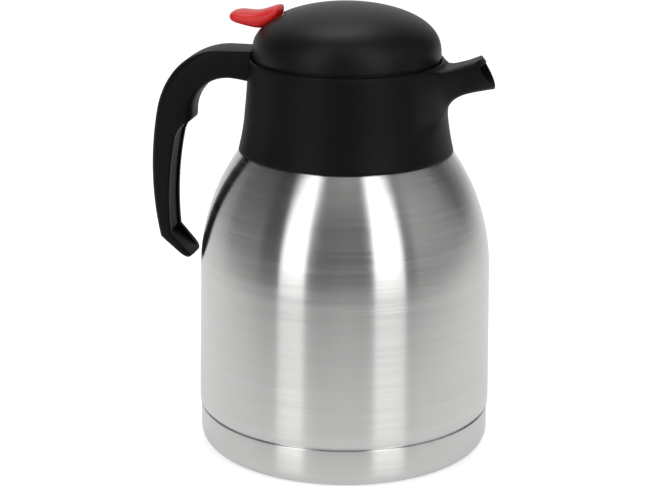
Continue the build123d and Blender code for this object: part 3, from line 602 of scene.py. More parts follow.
def base_outline():
    """Half section of the base cup."""
    edge = BASE_EDGE_R
    inner = edge - STEEL
    inner_r = BASE_R - STEEL
    recess = FOOT_RECESS
    return (
        [(0, recess), (FOOT_INNER_R - FOOT_ROUND, recess), (FOOT_INNER_R, recess - FOOT_ROUND)]
        + [(FOOT_INNER_R, FOOT_ROUND / 2), (FOOT_INNER_R + FOOT_ROUND / 2, 0)]
        + arc((BASE_R - edge, edge), edge, -90, 0, BASE_EDGE_STEPS)
        + arc((BASE_R - LIP_ROUND, BASE_TOP_Z - LIP_ROUND), LIP_ROUND, 0, 90, LIP_STEPS)
        + [(inner_r, BASE_TOP_Z), (inner_r, recess + STEEL + inner)]
        + arc((inner_r - inner, recess + STEEL + inner), inner, 0, -90, BASE_INNER_STEPS)
        + [(0, recess + STEEL)]
    )


finished(turned(steel_outline()), "steel_body", "brushed_steel", "jug", ["outer_shell"])
steel_foot = turned(base_outline(), closed=False)
finished(steel_foot, "steel_foot", "brushed_steel", "jug", ["base_cup"])


# Collar and spout

def flare_points():
    """Flare of the collar's skirt, tangent to its straight side."""
    slope = (COLLAR_FLARE_R - RIM_R) / (RIM_Z - COLLAR_FLARE_Z)
    across = COLLAR_BOTTOM_R - COLLAR_FLARE_R
    down = COLLAR_FLARE_Z - COLLAR_BOTTOM_Z
    points = []
    for step in range(FLARE_STEPS + 1):
        drop = down * (1 - step / FLARE_STEPS)
        straight = COLLAR_FLARE_R + slope * drop
        points.append((straight + (across - slope * down) * (drop / down) ** 2, COLLAR_FLARE_Z - drop))
    return points


def side_radius(height):
    """Radius of the collar's straight side at a height."""
    return RIM_R + (COLLAR_FLARE_R - RIM_R) * (RIM_Z - height) / (RIM_Z - COLLAR_FLARE_Z)


def collar_rows():
    """Half section of the collar: radius, height and crease of each row, up the outside and down inside."""
    flare = flare_points()
    foot_r, foot_z = flare[0]
    rows = [(foot_r, foot_z, 1.0)]
    flare_top = SPOUT_FOOT_Z - FLARE_ROW_GAP
    rows += [(radius, height, 0.0) for radius, height in flare[1:-1] if height < flare_top]
    rows += [(side_radius(SPOUT_FOOT_Z) + SPOUT_FOOT_SWELL, SPOUT_FOOT_Z, 0.0)]
    rows += [(side_radius(height), height, 0.0) for height in PATCH_HEIGHTS[1:-1]]
    rim_inner = RIM_R - RIM_WALL
    rows += [(RIM_R, RIM_Z, RIM_CREASE), (rim_inner, RIM_Z, RIM_CREASE), (rim_inner, RECESS_Z, 1.0)]
    rows += [(BORE_R, RECESS_Z, 1.0)]
    rows += [(BORE_R, height, 0.0) for height in reversed(WINDOW_HEIGHTS)]
    rows += [(BORE_R, FLOOR_TOP_Z, 1.0), (FLOOR_HOLE_R, FLOOR_TOP_Z, 1.0), (FLOOR_HOLE_R, FLOOR_Z, 1.0)]
    neck_r = NECK_R + NECK_CLEARANCE
    rows += [(neck_r, FLOOR_Z, 1.0), (neck_r, steel_height(NECK_R) + NECK_ROOF_RISE, NECK_CREASE)]
    rows += [(foot_r - NECK_CLEARANCE, COLLAR_BOTTOM_Z + COLLAR_LIP_RISE, 1.0)]
    return rows


def steel_height(radius):
    """Height of the steel shoulder at a radius."""
    across = radius - (BODY_TOP_R - SHOULDER_ARC_R)
    return SHOULDER_Z + math.sqrt(SHOULDER_ARC_R ** 2 - across ** 2)


def mouth_x(height):
    """Distance of the bowed mouth from the axis at a height."""
    (top_x, top_z), (middle_x, middle_z), (tip_x, tip_z) = MOUTH_TOP, MOUTH_MIDDLE, MOUTH_TIP
    top = (height - middle_z) * (height - tip_z) / ((top_z - middle_z) * (top_z - tip_z))
    middle = (height - top_z) * (height - tip_z) / ((middle_z - top_z) * (middle_z - tip_z))
    tip = (height - top_z) * (height - middle_z) / ((tip_z - top_z) * (tip_z - middle_z))
    return top * top_x + middle * middle_x + tip * tip_x


def spout_outline(half_width, top, bottom, flat, fall, fullness=SPOUT_FULLNESS):
    """Outline of the spout across: over the crowned roof, down one side, under the keel and up the other."""
    keel = half_width * SPOUT_KEEL_SHARE
    roof = []
    for column in range(SPOUT_COLUMNS + 1):
        side = 2 * column / SPOUT_COLUMNS - 1
        across = half_width * math.copysign(1 - (1 - abs(side)) ** ROOF_SPREAD, side)
        past = max(0.0, abs(across) - flat) / (half_width - flat)
        roof.append((across, top - fall * past ** 2))
    shoulder = top - fall
    flank = [
        (half_width + (keel - half_width) * share ** fullness, shoulder + (bottom - shoulder) * share)
        for share in SPOUT_SIDE_SHARES
    ]
    under = []
    for column in range(SPOUT_COLUMNS + 1):
        turn = math.pi / 2 * (1 - 2 * column / SPOUT_COLUMNS)
        under.append((keel * math.sin(turn), bottom + keel * KEEL_ROUND_SHARE * (1 - math.cos(turn))))
    return roof + flank + under + [(-across, height) for across, height in reversed(flank)]


def spout_ring(distance, half_width, top, bottom, flat, fall, lean=0.0):
    """Ring of the spout at a distance from the axis, its underside further out by the lean."""
    outline = spout_outline(half_width, top, bottom, flat, fall)
    return [(distance + lean * (top - height) / (top - bottom), across, height) for across, height in outline]


def mouth_ring(wall, roof_wall, back):
    """Ring that follows the bowed mouth, moved in by the walls and back along the spout."""
    last_x, last_half, last_top, last_bottom = SPOUT_SECTIONS[-1][:4]
    half_width, top, bottom, flat, fall = MOUTH_SECTION
    inner_fall = fall / 2 if wall else fall
    outline = spout_outline(
        half_width - wall, top - roof_wall, bottom + wall, flat - wall, inner_fall, MOUTH_FULLNESS
    )
    ring = []
    for across, height in outline:
        distance = mouth_x(height) - MOUTH_BOW * (across / half_width) ** 2
        share = back / (distance - last_x)
        level = (height - bottom) / (top - bottom)
        drop = share * ((1 - level) * (bottom - last_bottom) + level * (top - last_top))
        narrow = 1 - share * (1 - last_half / half_width)
        ring.append((distance - back, across * narrow, height - drop))
    return ring


def patch_places():
    """Places of the corners round the collar's patch, in the order of a spout ring."""
    heights = PATCH_HEIGHTS
    half = SPOUT_COLUMNS // 2
    step = 2 * math.pi / COLLAR_COLUMNS

    def place(column, height):
        radius = side_radius(height)
        return (radius * math.cos(column * step), radius * math.sin(column * step), height)

    places = [place(column, heights[-1]) for column in range(-half, half + 1)]
    places += [place(half, height) for height in reversed(heights[1:-1])]
    places += [place(column, heights[0]) for column in range(half, -half - 1, -1)]
    places += [place(-half, height) for height in heights[1:-1]]
    return places


def opened(mesh, gone):
    """Edges round the holes that are left when faces are taken out."""
    bmesh.ops.delete(mesh, geom=gone, context="FACES")
    return [edge for edge in mesh.edges if edge.is_boundary]


def cut_patch(mesh, half_columns, low, high, inside):
    """Open the wall in front between two heights, and return the edges round the hole."""
    reach = half_columns * 2 * math.pi / COLLAR_COLUMNS
    gone = []
    for face in mesh.faces:
        middle = face.calc_center_median()
        radius = math.hypot(middle.x, middle.y)
        on_wall = abs(radius - BORE_R) < BORE_TOLERANCE if inside else radius > BORE_R + OUTSIDE_PAST_BORE
        upright = abs(face.normal.z) < UPRIGHT_NORMAL
        if upright and on_wall and low < middle.z < high and abs(math.atan2(middle.y, middle.x)) < reach:
            gone.append(face)
    return opened(mesh, gone)


def make_collar():
    """Collar with its rim, deck, bore and floor, and the spout grown out of its side."""
    rows = collar_rows()
    mesh = turned([(radius, height) for radius, height, _ in rows], steps=COLLAR_COLUMNS)
    bmesh.ops.recalc_face_normals(mesh, faces=mesh.faces)
    crease = mesh.edges.layers.float.new("crease_edge")
    for edge in mesh.edges:
        first, second = edge.verts
        for radius, height, sharp in rows:
            on_row = all(
                abs(math.hypot(end.co.x, end.co.y) - radius) < ROW_TOLERANCE
                and abs(end.co.z - height) < ROW_TOLERANCE
                for end in (first, second)
            )
            if sharp and on_row:
                edge[crease] = sharp
    heights = PATCH_HEIGHTS
    edges = cut_patch(mesh, SPOUT_COLUMNS // 2, heights[0], heights[-1], inside=False)
    around = {corner for edge in edges for corner in edge.verts}
    base = [place_nearest(around, place) for place in patch_places()]
    for corner in base:
        up = (corner.co.z - heights[0]) / (heights[-1] - heights[0])
        share = PATCH_FOOT_SHARE + (1 - PATCH_FOOT_SHARE) * up
        angle = math.atan2(corner.co.y, corner.co.x)
        corner.co.rotate(Matrix.Rotation(angle * (share - 1), 3, "Z"))
    first = spout_ring(*SPOUT_SECTIONS[0])
    rings = [
        [Vector(corner.co).lerp(Vector(point), FIRST_RING_SHARE) for corner, point in zip(base, first)]
    ]
    rings += [spout_ring(*spout) for spout in SPOUT_SECTIONS]
    rings += [mouth_ring(0, 0, back) for back in (MOUTH_RUN, MOUTH_SUPPORT, 0)]
    rings += [mouth_ring(SPOUT_WALL, SPOUT_ROOF_WALL, back) for back in (0, MOUTH_SUPPORT, MOUTH_RUN)]
    for distance, half_width, top, bottom, flat, fall, _ in reversed(SPOUT_SECTIONS):
        ceiling = RECESS_Z - SKIN + (distance - CHANNEL_END_X) * CEILING_SLOPE
        channel_top = min(top - SPOUT_ROOF_WALL, ceiling)
        low = max(bottom + SPOUT_WALL, WINDOW_HEIGHTS[0])
        rings.append(spout_ring(distance, half_width - SPOUT_WALL, channel_top, low, flat - SPOUT_WALL, fall))
    rings.append(spout_ring(CHANNEL_END_X, *CHANNEL_END_SECTION))
    corners = base
    for number, ring in enumerate(rings):
        before = corners
        corners, edges = pulled(mesh, corners, edges, ring)
        for index in (0, SPOUT_COLUMNS):
            if number < len(TOP_EDGE_CREASES):
                mesh.edges.get((before[index], corners[index]))[crease] = TOP_EDGE_CREASES[number]
    window = cut_patch(mesh, WINDOW_COLUMNS // 2, WINDOW_HEIGHTS[0], WINDOW_HEIGHTS[-1], inside=True)
    bmesh.ops.bridge_loops(mesh, edges=window)
    soften(finished(mesh, "collar", "black_plastic", "jug", ["collar"], EVERY_ANGLE))


def make_thread_rib(middle_angle):
    """One start of the collar's thread, a square rib that climbs with the lead."""
    crest_r = BORE_R - THREAD_DEPTH
    rings = []
    for step in range(THREAD_STEPS + 1):
        turn = (step / THREAD_STEPS - 0.5) * THREAD_SPAN
        angle = math.radians(middle_angle + turn)
        height = THREAD_Z + THREAD_LEAD * turn / 360
        ring = []
        for radius, rise in ((crest_r, -1), (BORE_R, -1), (BORE_R, 1), (crest_r, 1)):
            ring.append((radius * math.cos(angle), radius * math.sin(angle), height + rise * THREAD_H / 2))
        rings.append(ring)
    return lofted(rings)


make_collar()
for number, middle_angle in enumerate(THREAD_ANGLES, 1):
    finished(make_thread_rib(middle_angle), f"collar_thread_{number}", "black_plastic", "jug")


# Handle

def grip_x(height):
    """Distance of the grip's back from the axis."""
    return math.sqrt(GRIP_ARC_R ** 2 - (height - GRIP_Z) ** 2) - (GRIP_ARC_R - GRIP_X)


def along(points, count):
    """Points evenly spaced along a line of points."""
    lengths = [0.0]
    for first, second in zip(points, points[1:]):
        lengths.append(lengths[-1] + math.dist(first, second))
    spaced = []
    for step in range(count + 1):
        want = lengths[-1] * step / count
        index = max(i for i in range(len(lengths) - 1) if lengths[i] <= want + LENGTH_TOLERANCE)
        share = (want - lengths[index]) / (lengths[index + 1] - lengths[index])
        spaced.append(tuple(a + (b - a) * share for a, b in zip(points[index], points[index + 1])))
    return spaced


def corner_arc(radius):
    """Points of a quarter turn as shares along and across a rounded corner."""
    points = []
    for step in range(CORNER_STEPS + 1):
        angle = math.pi / 2 * step / CORNER_STEPS
        points.append((radius * (1 - math.sin(angle)), radius * (1 - math.cos(angle))))
    return points


def handle_ring(outer, inner, half_width, outer_round, inner_round, groove, widen=0.0):
    """Ring round the handle between an outer and an inner point of its side view."""
    outer, inner = Vector(outer), Vector(inner)
    depth = (inner - outer).length
    channel = half_width - HANDLE_WALL + widen
    ring = [(half_width - across, back) for across, back in corner_arc(outer_round)]
    ring += [(half_width - across, depth - back) for back, across in corner_arc(inner_round)]
    lip = min(channel, half_width - inner_round)
    ring += [(lip, depth), (lip, depth - groove)]
    ring += [(-across, back) for across, back in reversed(ring)]
    points = []
    for across, back in ring:
        place = outer + (inner - outer) * (back / depth)
        points.append((-place.x, across, place.y))
    return points


def blended(first, last, share):
    """Value between two values, easing in and out."""
    return first + (last - first) * (3 - 2 * share) * share ** 2


def arm_stations():
    """Stations of the arm and its shoulder: outer and inner point, their roundings and no groove."""
    stations = []
    for x in (HANDLE_ROOT_R, *ARM_STATION_XS):
        share = (x - HANDLE_ROOT_R) / (HANDLE_ARM_X - HANDLE_ROOT_R)
        rise = (HANDLE_ARM_UNDER_Z - HANDLE_ROOT_UNDER_Z) * math.sin(share * math.pi / 2)
        under_z = HANDLE_ROOT_UNDER_Z + rise
        inner_round = HANDLE_EDGE_R + (ARM_INNER_R - HANDLE_EDGE_R) * share
        stations.append(((x, HANDLE_TOP_Z), (x, under_z), HANDLE_EDGE_R, inner_round, 0.0))
    start = Vector((HANDLE_SHOULDER_X, HANDLE_TOP_Z))
    end_z = HANDLE_TOP_Z - HANDLE_SHOULDER_DROP
    end = Vector((grip_x(end_z), end_z))
    upwards = Vector((grip_x(end_z + 1) - end.x, 1)).normalized()
    pulls = (start + Vector((SHOULDER_TOP_PULL, 0)), end + upwards * SHOULDER_GRIP_PULL)
    outer_arc = along(interpolate_bezier(start, *pulls, end, CURVE_STEPS + 1), SHOULDER_STEPS)
    nose_centre = (HANDLE_ARM_X, HANDLE_ARM_UNDER_Z - NOSE_ARC_R)
    inner_arc = along(arc(nose_centre, NOSE_ARC_R, 90, 0, CURVE_STEPS), SHOULDER_STEPS)
    for step in range(SHOULDER_STEPS + 1):
        share = step / SHOULDER_STEPS
        outer_round = blended(HANDLE_EDGE_R, SHOULDER_EDGE_R, min(1.0, share * 2))
        inner_round = blended(ARM_INNER_R, NOSE_EDGE_R, share)
        stations.append((outer_arc[step], inner_arc[step], outer_round, inner_round, 0.0))
    return stations


def grip_path():
    """Inner side of the grip from the top of its channel down to the bend."""
    flare = arc_through(GRIP_INNER_TOP, GRIP_FLARE_MIDDLE, GRIP_FLARE_END, GRIP_FLARE_STEPS)
    return flare + arc_through(GRIP_FLARE_END, GRIP_INNER_MIDDLE, GRIP_INNER_BEND, GRIP_STEPS)[1:]


def grip_stations(start):
    """Stations of the nose and the grip down to the bend: outer, inner, roundings and groove."""
    grip = grip_path()
    nose_x = HANDLE_ARM_X + NOSE_ARC_R
    nose_corners = [
        (start, 0), ((nose_x, NOSE_Z), NOSE_ROUND), (GRIP_INNER_TOP, NOSE_ROUND / 2), (grip[NOSE_END], 0),
    ]
    inner_path = rounded(nose_corners, NOSE_STEPS)[1:-1] + grip[NOSE_END:]
    top_z = HANDLE_TOP_Z - HANDLE_SHOULDER_DROP
    ledge = GRIP_INNER_TOP[0] - nose_x
    lengths = [0.0]
    before = start
    for point in inner_path:
        lengths.append(lengths[-1] + math.dist(before, point))
        before = point
    stations = []
    for gone, point in zip(lengths[1:], inner_path):
        share = gone / lengths[-1]
        height = top_z + (GRIP_BEND_Z - top_z) * share
        outer = (grip_x(height), height)
        outer_round = blended(SHOULDER_EDGE_R, GRIP_EDGE_R, share)
        under_nose = max(0.0, min(1.0, (point[0] - nose_x) / ledge))
        inner_round = NOSE_EDGE_R + (BORDER_EDGE_R - NOSE_EDGE_R) * under_nose
        in_channel = under_nose == 1.0 and point[1] < CHANNEL_TOP_Z
        groove = math.dist(outer, point) - HANDLE_FLOOR if in_channel else 0.0
        if in_channel and not (stations and stations[-1][4]):
            stations.append((outer, point, outer_round, inner_round, 0.0))
        stations.append((outer, point, outer_round, inner_round, groove))
    return stations


def tip_rings(bend_outer, bend_inner):
    """Rings of the bent tip, which ends in a round."""
    length = math.dist(bend_outer, TIP_UNDER)
    rings = []
    for step in range(1, TIP_STEPS + 1):
        share = 1 - (1 - step / TIP_STEPS) ** TIP_SPACING
        outer = Vector(bend_outer).lerp(Vector(TIP_UNDER), share)
        inner = Vector(bend_inner).lerp(Vector(TIP_OVER), share)
        left = length * (1 - share)
        pull = 0.0
        if left < TIP_ROUND:
            pull = TIP_ROUND - math.sqrt(TIP_ROUND ** 2 - (TIP_ROUND - left) ** 2)
        thickness = (inner - outer).length
        edge = min(thickness / TIP_THICKNESS_PER_EDGE, blended(GRIP_EDGE_R, HANDLE_EDGE_R, share))
        groove = max(0.0, thickness - TIP_FLOOR) if left > HANDLE_WALL else 0.0
        widen = pull * TIP_PULL_SHARE - TIP_NARROW * share
        rings.append(handle_ring(outer, inner, HANDLE_HALF_WIDTH - pull, edge, BORDER_EDGE_R, groove, widen))
    return rings


def make_handle():
    """Handle from its root on the collar over the shoulder and down the grip to the bent tip."""
    arm = arm_stations()
    grip = grip_stations(arm[-1][1])
    rings = [
        handle_ring(outer, inner, HANDLE_HALF_WIDTH, outer_round, inner_round, groove)
        for outer, inner, outer_round, inner_round, groove in arm + grip
    ]
    rings += tip_rings(grip[-1][0], grip[-1][1])
    rings[0] = [
        (-math.sqrt(HANDLE_ROOT_R ** 2 - across ** 2), across, height) for _, across, height in rings[0]
    ]
    return lofted(rings)


def make_strip():
    """Strip set into the channel of the grip, a little back from its borders."""
    half_width = HANDLE_HALF_WIDTH - HANDLE_WALL - STRIP_GAP
    path = [point for point in grip_path() if point[1] < CHANNEL_TOP_Z - STRIP_GAP]
    rings = []
    for x, height in path:
        face = x + STRIP_RECESS
        back = grip_x(height) - HANDLE_FLOOR - STRIP_GAP
        ring = []
        for side in (-1, 1):
            edge = [
                (face + STRIP_EDGE_R * (1 - math.cos(turn)), half_width - STRIP_EDGE_R * (1 - math.sin(turn)))
                for turn in (0.0, math.pi / 6, math.pi / 3, math.pi / 2)
            ]
            corners = [(-face_x, side * across, height) for face_x, across in edge]
            corners.append((-back, side * half_width, height))
            ring += corners if side < 0 else reversed(corners)
        rings.append(ring)
    return lofted(rings)


finished(make_handle(), "handle", "black_plastic", "jug", ["handle_shell"], HANDLE_ANGLE)
finished(make_strip(), "grip_strip", "insert_plastic", "jug", ["handle_insert"], HANDLE_ANGLE)


# Dome

def dome_points(inset, steps):
    """Half section of the dome, moved inwards by the inset, from its foot to the axis."""
    radius = DOME_R - inset
    height = DOME_H - inset
    points = []
    for step in range(steps + 1):
        angle = math.pi / 2 * step / steps
        across = radius * max(0.0, math.cos(angle)) ** (2 / DOME_RADIAL_POWER)
        up = height * math.sin(angle) ** (2 / DOME_HEIGHT_POWER)
        points.append((across if step < steps else 0.0, DOME_Z + up))
    return points


def make_dome():
    """Dome with the lever's slot cut through its rear slope."""
    mesh = turned(dome_points(0, DOME_STEPS) + list(reversed(dome_points(DOME_WALL, DOME_STEPS // 2))))
    planes = (
        ((SLOT_FRONT_X, 0, 0), (1, 0, 0)),
        ((0, -SLOT_HALF_WIDTH, 0), (0, 1, 0)),
        ((0, SLOT_HALF_WIDTH, 0), (0, 1, 0)),
        ((0, 0, SLOT_BOTTOM_Z), (0, 0, 1)),
    )
    for place, direction in planes:
        whole = mesh.verts[:] + mesh.edges[:] + mesh.faces[:]
        bmesh.ops.bisect_plane(mesh, geom=whole, dist=CUT_TOLERANCE, plane_co=place, plane_no=direction)
    gone = []
    for face in mesh.faces:
        middle = face.calc_center_median()
        if middle.x < SLOT_FRONT_X and abs(middle.y) < SLOT_HALF_WIDTH and middle.z > SLOT_BOTTOM_Z:
            gone.append(face)
    bmesh.ops.bridge_loops(mesh, edges=opened(mesh, gone))
    return mesh


finished(make_dome(), "dome", "dome_plastic", "lid", ["lid_dome"])


# Thumb lever

# Stations of the pad: place along X, half width, top and underside
LEVER_STATIONS = (
    (-56.2, 5.6, 210.6, 208.2),
    (-55.0, 7.8, 211.4, 207.0),
    (-52.4, 9.0, 212.0, 206.0),
    (-48.8, 9.3, 211.9, 205.2),
    (-45.2, 9.3, 211.6, 204.4),
    (-41.4, 9.3, 212.3, 203.8),
    (-37.8, 9.3, 213.6, 204.4),
    (-34.8, 9.1, 214.7, 206.6),
    (-32.8, 8.5, 215.0, 209.0),
    (-31.7, 7.0, 213.9, 211.0),
)


def lever_ring(x, half_width, top, bottom):
    """Ring of the lever's pad: crowned on top, full at the sides and rounded below."""
    height = top - bottom
    ring = []
    for step in range(PAD_RING_STEPS):
        angle = 2 * math.pi * step / PAD_RING_STEPS
        across = math.copysign(abs(math.cos(angle)) ** PAD_SQUARE, math.cos(angle))
        up = math.copysign(abs(math.sin(angle)) ** PAD_SQUARE, math.sin(angle))
        ring.append((x, half_width * across, bottom + height * (0.5 + 0.5 * up)))
    return ring


def make_lever_pad():
    """Thumb saddle with soft, pebble-like edges."""
    mesh = lofted([lever_ring(*station) for station in LEVER_STATIONS])
    soften(finished(mesh, "lever_pad", "red_plastic", "lever", ["thumb_lever"], EVERY_ANGLE))


def thicken(mesh, depth):
    """Draw a flat face out across the jug."""
    result = bmesh.ops.extrude_face_region(mesh, geom=mesh.faces[:], use_keep_orig=True)["geom"]
    moved = [item for item in result if isinstance(item, bmesh.types.BMVert)]
    bmesh.ops.translate(mesh, vec=(0, depth, 0), verts=moved)


def plate(outline, low, high):
    """Side view as a solid between two places across the jug, its edges rounded."""
    mesh = bmesh.new()
    mesh.faces.new([mesh.verts.new((x, low, z)) for x, z in outline])
    thicken(mesh, high - low)
    bmesh.ops.recalc_face_normals(mesh, faces=mesh.faces)
    bmesh.ops.bevel(
        mesh, geom=mesh.edges[:], offset=LEVER_EDGE_R, offset_type="OFFSET", segments=LEVER_EDGE_STEPS,
        profile=0.5, affect="EDGES", clamp_overlap=True, material=-1,
    )
    return mesh


def make_lever_arm():
    """Arm under the pad, inside the dome, with its hub and the fork that lifts the valve's stem."""
    half = FORK_H / 2
    arm = (
        *ARM_BACK, (-PIVOT_X, PIVOT_Z + half), (-PIVOT_X + ARM_ROOT, PIVOT_Z - half),
        (ARM_FRONT_X, PIVOT_Z - half / 2), (ARM_FRONT_X, ARM_FOOT_Z),
    )
    finished(plate(arm, -ARM_HALF, ARM_HALF), "lever_arm", "red_plastic", "lever")
    for number, side in enumerate((-1, 1), 1):
        low, high = sorted((side * FORK_SLOT, side * FORK_OUTER))
        fork = (
            (-PIVOT_X, PIVOT_Z + half), (FORK_END_X, PIVOT_Z + half), (FORK_END_X, PIVOT_Z - half),
            (-PIVOT_X, PIVOT_Z - half),
        )
        finished(plate(fork, low, high), f"lever_fork_{number}", "red_plastic", "lever")
    hub = bmesh.new()
    bmesh.ops.create_circle(hub, cap_ends=True, segments=HUB_STEPS, radius=HUB_R)
    bmesh.ops.rotate(hub, cent=(0, 0, 0), matrix=Matrix.Rotation(math.pi / 2, 3, "X"), verts=hub.verts)
    bmesh.ops.translate(hub, vec=(-PIVOT_X, -HUB_HALF, PIVOT_Z), verts=hub.verts)
    thicken(hub, 2 * HUB_HALF)
    finished(hub, "lever_hub", "red_plastic", "lever")


make_lever_pad()
make_lever_arm()


# CAD pieces that keep their shape

CAD_WELD = 0.005
CAD_ANGLE = 32.0


def dress(name, object_here):
    """Give a CAD piece its finish and smooth its curved faces."""
    slot = next(part["material_slot"] for part in frame["record"]["subparts"] if part["node"] == name)
    object_here.data.materials.clear()
    object_here.data.materials.append(MATERIALS[slot])
    for face in object_here.data.polygons:
        face.use_smooth = True
    weld = object_here.modifiers.new("weld", "WELD")
    weld.merge_threshold = CAD_WELD * MM
    split = object_here.modifiers.new("split", "EDGE_SPLIT")
    split.split_angle = math.radians(CAD_ANGLE)


for name, object_here in frame["nodes"].items():
    dress(name, object_here)


# Studio

FLOOR_HALF = 6.0
FLOOR_GREY = 0.75
FLOOR_ROUGHNESS = 0.9
FLOOR_WHITE = 0.55
FLOOR_MIRROR = 0.34
TABLE_EDGE_NEAR = 0.24
TABLE_EDGE_FAR = 0.46
TABLE_SIDE_SHARE = 0.5
BEYOND_TABLE = 0.1


def make_floor():
    """Wide white floor that keeps the jug's shadow."""
    mesh = bmesh.new()
    bmesh.ops.create_grid(mesh, x_segments=1, y_segments=1, size=FLOOR_HALF)
    data = bpy.data.meshes.new("floor")
    mesh.to_mesh(data)
    mesh.free()
    floor = placed("floor", data)
    material, tree, shader = new_material("white floor")
    shader.inputs["Base Color"].default_value = (FLOOR_GREY, FLOOR_GREY, FLOOR_GREY, 1)
    shader.inputs["Roughness"].default_value = FLOOR_ROUGHNESS
    shader.inputs["Emission Color"].default_value = (1, 1, 1, 1)
    path = add(tree, "ShaderNodeLightPath").outputs
    mirror = calculate(tree, "MAXIMUM", path["Is Glossy Ray"], path["Is Transmission Ray"])
    lit = calculate(tree, "MULTIPLY", mirror, FLOOR_MIRROR)
    seen = calculate(tree, "MULTIPLY_ADD", path["Is Camera Ray"], FLOOR_WHITE, lit)
    tree.links.new(seen, shader.inputs["Emission Strength"])
    yaw = math.radians(CAMERA_YAW)
    place = add(tree, "ShaderNodeTexCoord").outputs["Object"]
    to_camera = (math.sin(yaw), -math.cos(yaw), 0)
    to_right = (math.cos(yaw), math.sin(yaw), 0)
    front = add(tree, "ShaderNodeVectorMath", {0: place, 1: to_camera}, operation="DOT_PRODUCT")
    side = add(tree, "ShaderNodeVectorMath", {0: place, 1: to_right}, operation="DOT_PRODUCT")
    off_axis = calculate(tree, "ABSOLUTE", side.outputs["Value"])
    reach = calculate(tree, "MULTIPLY_ADD", off_axis, TABLE_SIDE_SHARE, front.outputs["Value"])
    past_edge = add(
        tree, "ShaderNodeMapRange",
        {"Value": reach, "From Min": TABLE_EDGE_NEAR, "From Max": TABLE_EDGE_FAR},
        clamp=True, interpolation_type="SMOOTHSTEP",
    )
    mirrored = calculate(tree, "MULTIPLY", past_edge.outputs[0], path["Is Glossy Ray"])
    room = add(tree, "ShaderNodeEmission", {"Color": (1, 1, 1, 1), "Strength": BEYOND_TABLE})
    mixed = add(tree, "ShaderNodeMixShader", {0: mirrored, 1: shader.outputs[0], 2: room.outputs[0]})
    tree.links.new(mixed.outputs[0], tree.nodes["Material Output"].inputs["Surface"])
    data.materials.append(material)


# Brightness of the studio's walls at three elevations, by the angle from the camera's side, positive to
# the right
WALLS = (
    (5, (
        (-180, 1.0), (-165, 0.8), (-148, 0.5), (-125, 0.3), (-108, 0.18), (-90, 0.28), (-76, 0.3),
        (-68, 0.05), (-20, 0.06), (-8, 0.12), (8, 0.14), (18, 0.05), (54, 0.12), (60, 0.46), (80, 0.44),
        (108, 0.32), (116, 0.06), (128, 0.1), (150, 0.4), (168, 0.9), (180, 1.0),
    )),
    (28, (
        (-180, 0.8), (-165, 0.7), (-135, 0.4), (-122, 0.12), (-66, 0.1), (-58, 0.06), (-30, 0.11),
        (20, 0.11), (54, 0.34), (60, 0.6), (100, 0.4), (110, 0.06), (124, 0.06), (134, 0.25), (152, 0.5),
        (170, 0.7), (180, 0.8),
    )),
    (57, (
        (-180, 0.4), (-145, 0.35), (-120, 0.05), (-66, 0.02), (-44, 0.06), (-24, 0.52), (14, 0.56),
        (24, 0.34), (54, 0.28), (96, 0.2), (106, 0.03), (120, 0.06), (150, 0.2), (180, 0.4),
    )),
)
WORLD_LIGHT = 0.5


def make_world():
    """White to the camera, a plain soft light, and a studio's light and dark walls in reflections."""
    world = bpy.data.worlds.new("studio")
    bpy.context.scene.world = world
    world.use_nodes = True
    tree = world.node_tree
    tree.nodes.clear()
    direction = add(tree, "ShaderNodeTexCoord").outputs["Generated"]
    parts = add(tree, "ShaderNodeSeparateXYZ", {0: direction}).outputs
    angle = calculate(tree, "ARCTAN2", parts["Y"], parts["X"])
    around = calculate(tree, "DIVIDE", angle, 2 * math.pi)
    around = calculate(tree, "ADD", around, 0.5 + (90 - CAMERA_YAW) / 360)
    around = calculate(tree, "FRACT", around)
    elevation = calculate(tree, "ARCSINE", parts["Z"])
    walls = None
    for height, stops in WALLS:
        level = ramp(tree, around, [(0.5 + degrees / 360, value) for degrees, value in stops])
        if walls is None:
            walls, below = level, height
            continue
        share = add(
            tree, "ShaderNodeMapRange",
            {"Value": elevation, "From Min": math.radians(below), "From Max": math.radians(height)},
            clamp=True, interpolation_type="SMOOTHSTEP",
        )
        mixed = add(tree, "ShaderNodeMix", {0: share.outputs[0], 6: walls, 7: level}, data_type="RGBA")
        walls, below = mixed.outputs[2], height
    path = add(tree, "ShaderNodeLightPath").outputs
    plain = add(tree, "ShaderNodeBackground", {"Color": (1, 1, 1, 1), "Strength": WORLD_LIGHT})
    mirrored = add(tree, "ShaderNodeBackground", {"Color": walls, "Strength": 1.0})
    white = add(tree, "ShaderNodeBackground", {"Color": (1, 1, 1, 1), "Strength": 1.0})
    lit = add(
        tree, "ShaderNodeMixShader", {0: path["Is Glossy Ray"], 1: plain.outputs[0], 2: mirrored.outputs[0]}
    )
    seen = calculate(tree, "MAXIMUM", path["Is Camera Ray"], path["Is Transmission Ray"])
    shown = add(tree, "ShaderNodeMixShader", {0: seen, 1: lit.outputs[0], 2: white.outputs[0]})
    add(tree, "ShaderNodeOutputWorld", {"Surface": shown.outputs[0]})


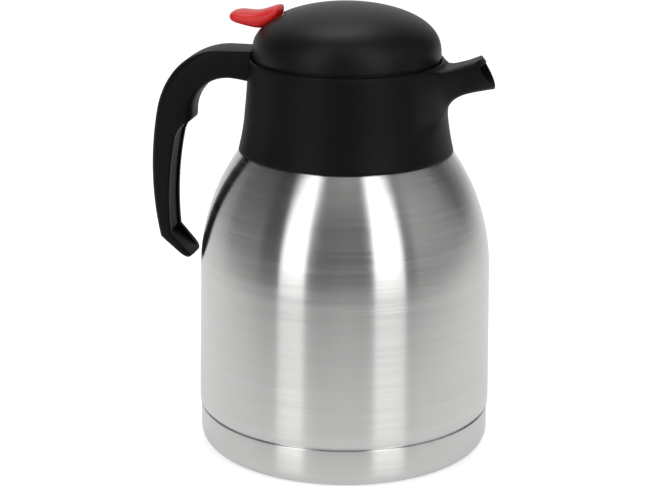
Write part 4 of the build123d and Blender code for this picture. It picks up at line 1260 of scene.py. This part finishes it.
SOFTBOX_DISTANCE = 1.0
SOFTBOX_HEIGHT = 2.2
SOFTBOX_LIFT = 1.12

# Angle from the camera's side, width and strength of each upright softbox
SOFTBOXES = {
    "left softbox": (-41.0, 0.36, 2.6),
    "right softbox": (33.5, 0.42, 2.5),
}
OVERHEAD_SIZE = (0.8, 0.42)
OVERHEAD_STRENGTH = 5.0
OVERHEAD_PLACE = (-0.18, 0.42, 1.5)
OVERHEAD_AIM = (0, 0, 0.2)


def make_softbox(name, size, strength, place, aim):
    """Softbox at a place, facing a point."""
    width, height = size
    light = bpy.data.lights.new(name, "AREA")
    light.shape = "RECTANGLE"
    light.size = width
    light.size_y = height
    light.energy = strength * math.pi * width * height
    lamp = placed(name, light)
    lamp.location = place
    lamp.rotation_euler = (Vector(aim) - lamp.location).to_track_quat("-Z", "Y").to_euler()


def make_lights():
    """Two tall softboxes on the camera's side, and a wide one above and behind the jug."""
    for name, (degrees, width, strength) in SOFTBOXES.items():
        angle = math.radians(degrees + CAMERA_YAW)
        place = (SOFTBOX_DISTANCE * math.sin(angle), -SOFTBOX_DISTANCE * math.cos(angle), SOFTBOX_LIFT)
        make_softbox(name, (width, SOFTBOX_HEIGHT), strength, place, (0, 0, SOFTBOX_LIFT))
    make_softbox("overhead softbox", OVERHEAD_SIZE, OVERHEAD_STRENGTH, OVERHEAD_PLACE, OVERHEAD_AIM)


def make_camera():
    """Camera at the photo's place."""
    data = bpy.data.cameras.new("camera")
    data.lens = CAMERA_LENS
    data.sensor_width = SENSOR_WIDTH
    data.clip_start = CLIP_START
    data.clip_end = CLIP_END
    camera = placed("camera", data)
    camera.location = [value * MM for value in CAMERA_PLACE]
    camera.rotation_mode = "XYZ"
    look = Euler((math.radians(90 - CAMERA_PITCH), 0, math.radians(CAMERA_YAW))).to_matrix()
    roll = Matrix.Rotation(math.radians(CAMERA_ROLL), 3, "Z")
    camera.rotation_euler = (look @ roll).to_euler()
    bpy.context.scene.camera = camera


make_floor()
make_world()
make_lights()
make_camera()
bpy.context.scene.view_settings.view_transform = "Standard"
